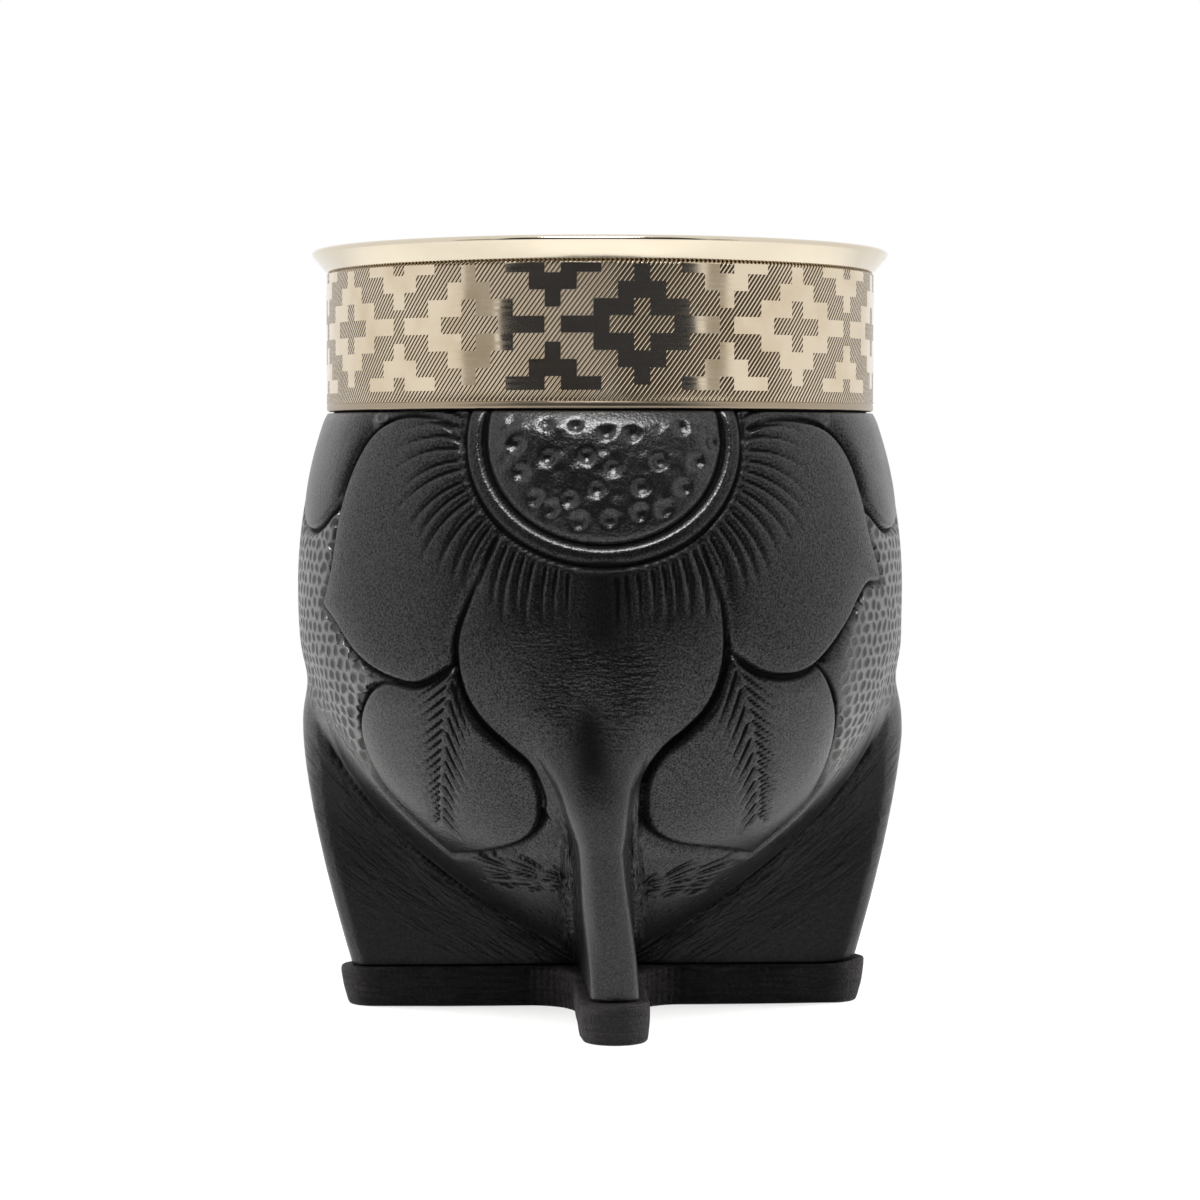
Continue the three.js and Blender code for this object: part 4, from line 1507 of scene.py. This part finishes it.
@dataclass(frozen=True)
class Alpaca:
    """Nickel silver sheet, buffed: a warm bright mirror with fine buffing lines and a hand-beaten waver.

    Hatched faces are cut with slanting graver lines whose dark bottoms stay unpolished. Pattern sizes and
    depths are in millimetres; real buffing lines are finer, and these are drawn coarser so that a picture can
    show them.
    """

    bright: str = "#dfd0b8"
    tarnish: str = "#d0bea2"
    handled: str = "#a39581"
    spun: str = "#d9ceba"
    spun_dull: str = "#d5cab6"
    groove: str = "#4c3a25"
    roughness: float = 0.12
    satin_roughness: float = 0.3
    groove_roughness: float = 0.36
    hatch: float = 0.5
    hatch_slope: float = 53.0
    hatch_depth: float = 0.042
    waver: float = 9.0
    waver_depth: float = 0.09
    buff: float = 0.35
    buff_length: float = 14.0
    buff_depth: float = 0.0015
    stain: float = 6.0

    def make(self, work: AlpacaWork) -> bpy.types.Material:
        """Builds the material for one way of working; the graver's lines are a sine across the sheet.

        Args:
            work: How the face was worked.

        Returns:
            The metal.
        """
        shader = Shader(work.value)
        place = shader.place()
        waver = shader.noise(place, self.waver, 1.0)
        buffing = shader.noise(shader.drawn(place, self.buff_length, self.buff_length, self.buff), METRE, 3.0)
        dull = shader.ramp(shader.noise(place, self.stain, 4.0), 0.45, 0.75)
        faces = {AlpacaWork.SATIN: (self.handled, self.handled), AlpacaWork.SPUN: (self.spun, self.spun_dull)}
        colour = shader.tint(dull, *faces.get(work, (self.bright, self.tarnish)))
        smooth = self.satin_roughness if work is AlpacaWork.SATIN else self.roughness
        rough = shader.ramp(buffing, 0.3, 0.7, smooth - 0.04, smooth + 0.05)
        height = shader.sum("MULTIPLY", waver, self.waver_depth)
        height = shader.sum("MULTIPLY_ADD", buffing, self.buff_depth, height)
        if work is AlpacaWork.HATCHED:
            lean = math.radians(self.hatch_slope)
            turn = 2 * math.pi * per_metre(self.hatch)
            across = (turn * math.sin(lean), -turn * math.cos(lean), 0.0)
            wave = shader.sum("SINE", shader.vector("DOT_PRODUCT", "Value", shader.unrolled(), across))
            cut = shader.ramp(wave, 0.2, -0.45, kind="SMOOTHSTEP")
            colour = shader.tint(cut, colour, self.groove)
            rough = shader.mix(cut, rough, self.groove_roughness)
            height = shader.sum("MULTIPLY_ADD", wave, self.hatch_depth, height)
        normal = shader.bump(height)
        return shader.surface({"Base Color": colour, "Metallic": 1.0, "Roughness": rough, "Normal": normal})


@dataclass
class Ferrule:
    """The nickel-silver mouth: engraved band, spun lip and the sleeve inside."""

    sizes: MateSizes
    repeat_turn: float = 34.8
    repeat_cells: int = 11
    diamond_turn: float = -29.2
    diamond: tuple[float, ...] = (5.0, 3.0, 1.5, 0.5)
    cross: tuple[float, ...] = (2.0, 0.5)
    row: float = 2.245
    middle_below_top: float = 8.37
    pattern_foot: float = 3.8
    hatch_foot: float = 4.27
    edge: float = 0.3
    flare: float = 2.0
    roll_width: float = 0.9
    roll_height: float = 0.55
    lip_hollow: float = 1.5
    joint: float = 0.3
    lip_sheet: float = 0.8
    crisp: float = 35.0
    band_crisp: float = 50.0
    columns: int = 192
    finish: Alpaca = Alpaca()

    def polished(self, cell: np.ndarray, row: np.ndarray) -> np.ndarray:
        """Tells the polished stepped diamonds from the hatched ground.

        Two sets of diamonds share the repeat, the second half a repeat along and four and a half rows up or
        down. A diamond's half width falls from row to row, and a hatched cross sits in its middle.

        Args:
            cell: Cells along from a diamond's middle.
            row: Rows above the diamonds' middle line.

        Returns:
            True where the metal stays polished.
        """
        bright = np.zeros(np.broadcast(cell, row).shape, bool)
        for along, up in ((0.0, 0.0), (0.5, 4.5), (0.5, -4.5)):
            off = np.abs(np.mod(cell / self.repeat_cells - along + 0.5, 1) - 0.5) * self.repeat_cells
            step = np.round(np.abs(row - up)).astype(int)
            half, cross = (np.pad(widths, (0, step.max()))[step] for widths in (self.diamond, self.cross))
            bright |= (off < half) & (off >= cross)
        return bright & (row > -self.pattern_foot)

    def band(self) -> bpy.types.Object:
        """The engraved tube: columns stand on half cells and rows on half rows, so the steps are true edges.

        Returns:
            The band.
        """
        s = self.sizes
        half_cell = math.radians(self.repeat_turn) / self.repeat_cells / 2
        first = math.radians(self.diamond_turn)
        low = math.ceil((-np.pi - first) / half_cell)
        high = math.floor((np.pi - first) / half_cell)
        azimuth = np.unique(np.concatenate([[-np.pi], first + half_cell * np.arange(low, high + 1)]))
        middle = s.band_top - self.middle_below_top
        highest = (s.band_top - self.joint - middle) / self.row
        levels = [-self.hatch_foot, -self.pattern_foot, *np.arange(-3.5, 3.6, 0.5), highest]
        levels = np.array(levels)
        face = np.stack([np.full(len(levels), s.band_radius), middle + levels * self.row], -1)
        line = face[0, 1]
        border = np.array([
            (s.band_inner, s.band_bottom), (s.band_radius - self.edge, s.band_bottom),
            (s.band_radius - 0.08, s.band_bottom + 0.1), (s.band_radius, s.band_bottom + self.edge),
            (s.band_radius, line - 0.5), (s.band_radius - 0.06, line - 0.42),
            (s.band_radius + 0.05, line - 0.34), (s.band_radius + 0.05, line - 0.2),
        ])
        rim = np.array([(s.band_radius - self.joint, s.band_top), (s.band_inner, s.band_top)])
        profile = np.vstack([border, face, rim])
        rows = around(profile[:, :1], azimuth[None], profile[:, 1:])
        turns = np.append(azimuth, np.pi)
        heights = np.append(profile[:, 1], profile[0, 1])
        uv = np.stack(np.broadcast_arrays(turns[None] * s.band_radius, heights[:, None]), -1)
        centres = (turns[1:] + azimuth) / 2
        steps = (levels[1:] + levels[:-1]) / 2
        bright = self.polished((centres[None] - first) / (2 * half_cell), steps[:, None])
        works = (AlpacaWork.POLISHED, AlpacaWork.HATCHED, AlpacaWork.SATIN)
        plain, hatched, satin = range(len(works))
        foot, head = len(border), len(border) + len(steps)
        finishes = np.full((len(profile), len(azimuth)), plain)
        finishes[foot:head] = np.where(bright, plain, hatched)
        finishes[head] = hatched
        finishes[foot - 2:foot] = hatched
        finishes[:foot - 3] = satin
        piece = skin("ferrule_band_engraved", rows, Ends.LOOP, uv, finishes=finishes, crisp=self.band_crisp)
        return dress(piece, *(self.finish.make(work) for work in works))

    def lip(self) -> bpy.types.Object:
        """The spun lip: from the sleeve out under the rim, down to the band, up the flare, over the roll, in.

        Returns:
            The lip.
        """
        s = self.sizes
        hollow = s.rim_top - self.lip_hollow
        corner = np.array([s.band_radius + self.flare, s.rim_top])
        roll = corner + (unit(np.linspace(-0.5, np.pi / 2, 18)) - 1) * (self.roll_width, self.roll_height)
        under = bend((s.sleeve_outer, s.band_top), (s.sleeve_outer, hollow), (s.band_inner, hollow), 10)
        leaving = roll[1] - roll[0]
        pull = roll[0] - 1.6 * leaving / np.linalg.norm(leaving)
        flare = bend((s.band_radius - 0.05, s.band_top + 0.1), pull, roll[0], 14)
        top = bend(roll[-1], (s.mouth_radius, s.rim_top), (s.mouth_radius, s.band_top + self.lip_sheet), 22)
        profile = np.vstack([
            [(s.mouth_radius, s.band_top)], under, [(s.band_inner, hollow), (s.band_inner, s.band_top)],
            [(s.band_radius - self.joint, s.band_top)], flare, roll[1:], top[1:],
            [(s.mouth_radius, s.band_top + self.lip_sheet)],
        ])
        piece = turned("ferrule_lip_spun", profile, self.columns, Ends.LOOP, self.crisp)
        return dress(piece, self.finish.make(AlpacaWork.SPUN))

    def sleeve(self) -> bpy.types.Object:
        """The tube that lines the mouth, with a softened lower edge.

        Returns:
            The sleeve.
        """
        s = self.sizes
        half = (s.sleeve_outer - s.mouth_radius) / 2
        foot = s.band_top - s.sleeve_depth + half
        middle = np.array([(s.sleeve_outer + s.mouth_radius) / 2, foot])
        edge = middle + half * unit(np.linspace(-np.pi, 0, 9))
        rise = np.linspace(foot, s.band_top, 9)[1:]
        up = np.stack([np.full(8, s.sleeve_outer), rise], -1)
        down = np.stack([np.full(8, s.mouth_radius), rise[::-1]], -1)
        profile = np.vstack([edge, up, down])
        piece = turned("ferrule_sleeve_tube", profile, self.columns, Ends.LOOP, self.crisp)
        return dress(piece, self.finish.make(AlpacaWork.SPUN))


@dataclass(frozen=True)
class GourdShell:
    """Cured calabash, scraped inside: tan, dull and fibrous, with darker stains running up the wall."""

    flesh: str = "#b98f58"
    pale: str = "#d2ae78"
    stain: str = "#7d5a33"
    stain_share: float = 0.7
    roughness: float = 0.78
    fibre: float = 0.9
    fibre_depth: float = 0.35
    streak: float = 16.0
    blotch: float = 12.0

    def make(self) -> bpy.types.Material:
        """Builds the material; fibres are noise drawn out up the wall.

        Returns:
            The shell.
        """
        shader = Shader("cured_calabash")
        place = shader.place()
        fibres = shader.noise(shader.drawn(place, self.fibre, self.fibre, self.streak), METRE, 4.0)
        share = shader.ramp(shader.noise(place, self.blotch, 5.0), 0.5, 0.8, 0.0, self.stain_share)
        return shader.surface({
            "Base Color": shader.tint(share, shader.tint(fibres, self.flesh, self.pale), self.stain),
            "Roughness": self.roughness,
            "Normal": shader.bump(shader.sum("MULTIPLY", fibres, self.fibre_depth)),
        })


@dataclass
class GourdBowl:
    """The calabash inside the leather, cut at the neck and bored for the sleeve."""

    sizes: MateSizes
    wall: float = 5.0
    base: float = 6.0
    lump: float = 0.25
    lump_fade: float = 8.0
    crisp: float = 50.0
    columns: int = 120
    finish: GourdShell = GourdShell()

    def build(self) -> bpy.types.Object:
        """Turns the shell's outline, then lets its inside swell and hollow by a quarter of a millimetre.

        Returns:
            The gourd.
        """
        s = self.sizes
        top = s.band_top - s.fit
        bore_foot = s.band_top - s.sleeve_depth - s.fit
        cavity, cavity_tip = s.gourd_belly - self.wall, s.gourd_tip + self.base
        sweep = np.linspace(0, np.pi / 2, 22)[1:]
        outer_z = s.belly_z - (s.belly_z - s.gourd_tip) * np.cos(sweep)
        outer = np.stack([s.gourd_outside(outer_z), outer_z], -1)
        neck_z = np.linspace(s.belly_z, s.band_bottom, 8)[1:]
        neck = np.stack([s.gourd_outside(neck_z), neck_z], -1)
        mouth = np.array([(s.neck_radius, top), (s.bore_radius, top)])
        throat_z = np.linspace(bore_foot, s.belly_z, 16)
        throat = np.stack([s.shoulder(throat_z, cavity, bore_foot, s.bore_radius), throat_z], -1)
        inner_z = s.belly_z - (s.belly_z - cavity_tip) * np.cos(sweep[::-1])[1:]
        inner = np.stack([s.egg(inner_z, cavity, cavity_tip, s.gourd_fullness, s.gourd_point), inner_z], -1)
        profile = np.vstack([outer, neck, mouth, throat, inner])
        azimuth = full_turn(self.columns)[None]
        first = len(outer) + len(neck) + len(mouth)
        hand = np.zeros((len(profile), 1))
        hand[first:] = self.lump * smooth_step(profile[first:, 1:], bore_foot, bore_foot - self.lump_fade)
        lumps = hand * wobble(azimuth + profile[:, 1:] / 60, 2 * np.pi / 3, 0.7)
        rows = around(profile[:, :1] - np.abs(lumps), azimuth, profile[:, 1:])
        piece = skin("gourd_bowl_cured", rows, Ends.POLES, crisp=self.crisp)
        return dress(piece, self.finish.make())


@dataclass(frozen=True)
class WaxedThread:
    """Two-ply waxed linen, black: a soft sheen on twisted plies, with hairs drawn coarser than real ones."""

    dye: str = "#151415"
    lit: str = "#2a2829"
    roughness: float = 0.55
    hair: float = 0.12
    hair_depth: float = 0.05

    def make(self) -> bpy.types.Material:
        """Builds the material with the plies' fine hairs.

        Returns:
            The thread.
        """
        shader = Shader("waxed_linen_thread")
        hairs = shader.noise(shader.place(), self.hair, 2.0)
        return shader.surface({
            "Base Color": shader.tint(hairs, self.dye, self.lit),
            "Roughness": self.roughness,
            "Normal": shader.bump(shader.sum("MULTIPLY", hairs, self.hair_depth)),
        })


@dataclass
class SeamThread:
    """The zigzag that draws the cover together down its back and the rear leg."""

    sizes: MateSizes
    cover: LeatherCover
    radius: float = 0.45
    pitch: float = 5.0
    half: float = 1.4
    margin: float = 3.0
    per_stitch: int = 14
    sides: int = 12
    twist: float = 1.9
    finish: WaxedThread = WaxedThread()

    def build(self) -> bpy.types.Object:
        """Carries a two-lobed section, turning once in each twist, along a zigzag that dips at every hole.

        Returns:
            The thread.
        """
        s = self.sizes
        start, end = s.sole_top + self.margin, s.band_bottom - self.margin
        stitches = int((end - start) // self.pitch) * 2
        share = np.linspace(0, stitches, stitches * self.per_stitch + 1)
        z = start + (end - start) * share / stitches
        saw = 1 - 2 * np.abs(np.mod(share, 2) - 1)
        side = -self.half * np.sign(saw) * np.abs(np.sin(saw * np.pi / 2)) ** 0.8
        radius = self.cover.outside(np.full(z.shape, np.pi), z)[0]
        azimuth = np.pi - np.arcsin(side / radius)
        lift = self.cover.outside(azimuth, z)[0] + self.radius * (0.85 - 1.3 * np.abs(saw) ** 6)
        path = around(lift, azimuth, z)
        ahead = np.gradient(path, axis=0)
        ahead /= np.linalg.norm(ahead, axis=1, keepdims=True)
        out = around(np.ones(z.shape), azimuth, np.zeros(z.shape))
        out = out - ahead * (out * ahead).sum(1, keepdims=True)
        out /= np.linalg.norm(out, axis=1, keepdims=True)
        across = np.cross(ahead, out)
        travel = np.concatenate([[0], np.cumsum(np.linalg.norm(np.diff(path, axis=0), axis=1))])
        turn = np.linspace(0, 2 * np.pi, self.sides, endpoint=False)[None]
        plies = np.cos(2 * (turn - 2 * np.pi * travel[:, None] / self.twist / 2))
        girth = self.radius * (0.86 + 0.14 * plies)
        rows = path[:, None] + girth[..., None] * (
            np.cos(turn)[..., None] * out[:, None] + np.sin(turn)[..., None] * across[:, None]
        )
        piece = skin("back_seam_thread_sewn", rows, Ends.POLES)
        return dress(piece, self.finish.make())


@dataclass(frozen=True)
class SettingCompound:
    """Poured setting compound under the band: dull stone grey with sandy filler."""

    stone: str = "#9a8f7c"
    sand: str = "#776c5a"
    roughness: float = 0.82
    grit: float = 0.5
    grit_depth: float = 0.1

    def make(self) -> bpy.types.Material:
        """Builds the material with its grit.

        Returns:
            The compound.
        """
        shader = Shader("poured_setting_compound")
        grit = shader.noise(shader.place(), self.grit, 3.0)
        return shader.surface({
            "Base Color": shader.tint(grit, self.stone, self.sand),
            "Roughness": self.roughness,
            "Normal": shader.bump(grit, self.grit_depth),
        })


@dataclass(frozen=True)
class Softbox:
    """A square of soft light: where it stands, its width, its watts and whether shiny faces mirror it."""

    place: tuple[float, float, float]
    size: float
    power: float
    mirrored: bool


@dataclass
class Studio:
    """White table and surround, three soft lights, a dark flag behind the camera, the camera; in metres."""

    eye_distance: float = 0.470
    eye_height: float = 0.07858
    eye_turn: float = 2.6
    eye_pitch: float = 2.607
    lens: float = 99.5
    white: str = "#ffffff"
    table_half: float = 3.0
    table_white: str = "#bcbbb9"
    shadow_share: float = 0.62
    shadow_from: float = 0.07
    shadow_to: float = 0.26
    flag_black: str = "#191a1d"
    flag_y: float = -0.62
    flag_sides: tuple[float, float] = (-0.57, 0.46)
    flag_top: float = 1.1
    apron_black: str = "#0d0c0b"
    apron_near: float = -0.27
    apron_rise: float = 0.002
    card_grey: str = "#b4b0aa"
    card_left: tuple[float, float] = (-0.62, -1.05)
    card_right: tuple[float, float] = (0.53, 0.72)
    card_top: float = 0.5
    surround: float = 0.06
    aim_height: float = 0.055
    boxes: tuple[Softbox, ...] = (
        Softbox(place=(-0.74, 0.12, 0.30), size=0.6, power=40.0, mirrored=False),
        Softbox(place=(0.74, 0.12, 0.30), size=0.6, power=44.0, mirrored=False),
        Softbox(place=(-0.05, -0.40, 0.78), size=0.34, power=7.0, mirrored=True),
    )

    def camera(self) -> None:
        """Sets the camera up in front of the flower, looking slightly down."""
        eye = bpy.data.cameras.new("camera")
        eye.sensor_width, eye.lens = 36.0, self.lens
        eye.clip_start, eye.clip_end = 0.01, 50.0
        turn = math.radians(self.eye_turn)
        stand = bpy.data.objects.new("camera", eye)
        back = -self.eye_distance
        stand.location = (back * math.sin(turn), back * math.cos(turn), self.eye_height)
        stand.rotation_euler = (math.radians(90 - self.eye_pitch), 0.0, -turn)
        bpy.context.scene.collection.objects.link(stand)
        bpy.context.scene.camera = stand

    def plate(
        self, name: str, corners: Sequence[Sequence[float]], material: bpy.types.Material
    ) -> bpy.types.Object:
        """Makes a flat four-cornered sheet that isn't part of the object.

        Args:
            name: Its name.
            corners: Its corners.
            material: Its finish.

        Returns:
            The sheet.
        """
        mesh = bpy.data.meshes.new(name)
        mesh.from_pydata(np.array(corners), [], [(0, 1, 2, 3)])
        mesh.materials.append(material)
        sheet = bpy.data.objects.new(name, mesh)
        bpy.context.scene.collection.objects.link(sheet)
        return sheet

    def seen(self, tree: bpy.types.NodeTree) -> Socket:
        """Share of white shown to the camera, to mirrors and through glass, and not to soft bounces."""
        rays = add_node(tree, "ShaderNodeLightPath").outputs
        share = rays["Is Camera Ray"]
        for ray in ("Is Glossy Ray", "Is Transmission Ray"):
            share = add_node(tree, "ShaderNodeMath", {0: share, 1: rays[ray]}, operation="MAXIMUM").outputs[0]
        return share

    def table(self) -> None:
        """Lays the white table, which takes the shadow and shows white to the camera."""
        shader = Shader("white_table")
        matte = add_node(shader.tree, "ShaderNodeBsdfDiffuse", {"Color": linear_colour(self.table_white)})
        lit = {"Color": linear_colour(self.white), "Strength": 1.0}
        glow = add_node(shader.tree, "ShaderNodeEmission", lit)
        away = shader.vector("LENGTH", "Value", shader.place())
        fade = shader.ramp(away, self.shadow_from, self.shadow_to, self.shadow_share)
        share = shader.sum("MULTIPLY", self.seen(shader.tree), fade)
        mixed = {0: share, 1: matte.outputs[0], 2: glow.outputs[0]}
        material = shader.surface(mixed, "ShaderNodeMixShader")
        h = self.table_half
        self.plate("table", [(-h, -h, 0.0), (h, -h, 0.0), (h, h, 0.0), (-h, h, 0.0)], material)

    def flag(self) -> None:
        """Hangs a dark flag behind the camera and a grey card at each side, for the piece to mirror."""
        cloth, black = (
            Shader(name).surface({"Color": linear_colour(colour)}, "ShaderNodeBsdfDiffuse")
            for name, colour in (("black_flag", self.flag_black), ("black_apron", self.apron_black))
        )
        lit = {"Color": linear_colour(self.card_grey), "Strength": 1.0}
        grey = Shader("grey_card").surface(lit, "ShaderNodeEmission")
        y = self.flag_y
        for name, (a, b), top, material in (
            ("grey_card_left", self.card_left, self.card_top, grey),
            ("grey_card_right", self.card_right, self.card_top, grey),
            ("flag", self.flag_sides, self.flag_top, cloth),
        ):
            sheet = self.plate(name, [(a, y, 0.0), (b, y, 0.0), (b, y, top), (a, y, top)], material)
            sheet.visible_camera = False
        (left, right), near, rise = self.flag_sides, self.apron_near, self.apron_rise
        corners = [(left, y, rise), (right, y, rise), (right, near, rise), (left, near, rise)]
        self.plate("flag_apron", corners, black).visible_camera = False

    def surround_light(self) -> None:
        """Surrounds the table with white, shown full to the camera and mirrors and dimmer to soft bounces."""
        world = bpy.data.worlds.new("white_surround")
        bpy.context.scene.world = world
        world.use_nodes = True
        tree = world.node_tree
        tree.nodes.clear()
        strength = add_node(
            tree, "ShaderNodeMix", {0: self.seen(tree), 2: self.surround, 3: 1.0}, data_type="FLOAT"
        ).outputs[0]
        sky = {"Color": linear_colour(self.white), "Strength": strength}
        sky = add_node(tree, "ShaderNodeBackground", sky)
        add_node(tree, "ShaderNodeOutputWorld", {"Surface": sky.outputs[0]})

    def softboxes(self) -> None:
        """Stands the soft lights round the table, all facing the bowl's middle."""
        for number, box in enumerate(self.boxes):
            lamp = bpy.data.lights.new(f"softbox_{number}", "AREA")
            lamp.shape, lamp.size, lamp.energy = "SQUARE", box.size, box.power
            stand = bpy.data.objects.new(lamp.name, lamp)
            stand.location = box.place
            stand.visible_glossy = box.mirrored
            x, y, z = box.place
            tilt = math.atan2(math.hypot(x, y), z - self.aim_height)
            stand.rotation_euler = (tilt, 0.0, math.atan2(y, x) + math.pi / 2)
            bpy.context.scene.collection.objects.link(stand)

    def build(self) -> None:
        """Sets up camera, table, flag, surround and lights."""
        self.camera()
        self.table()
        self.flag()
        self.surround_light()
        self.softboxes()
        bpy.context.scene.view_settings.view_transform = "Standard"


def main() -> None:
    """Builds the studio and every piece, and reports each one."""
    logging.basicConfig(level=logging.INFO, format="%(name)s: %(message)s")
    sizes = MateSizes()
    Studio().build()
    cover = LeatherCover(sizes)
    settle(cover.build(), "leather_cover")
    settle(SeamThread(sizes, cover).build(), "back_seam_thread")
    settle(LeatherSole(sizes).build(), "leather_sole")
    ferrule = Ferrule(sizes)
    settle(ferrule.band(), "ferrule_band")
    settle(ferrule.lip(), "ferrule_lip")
    settle(ferrule.sleeve(), "ferrule_sleeve")
    settle(GourdBowl(sizes).build(), "gourd_bowl")
    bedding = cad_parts["ferrule_bedding"]
    dress(bedding, SettingCompound().make())
    log.info("%s: kept as cast", bedding.name)


if __name__ == "__main__":
    main()
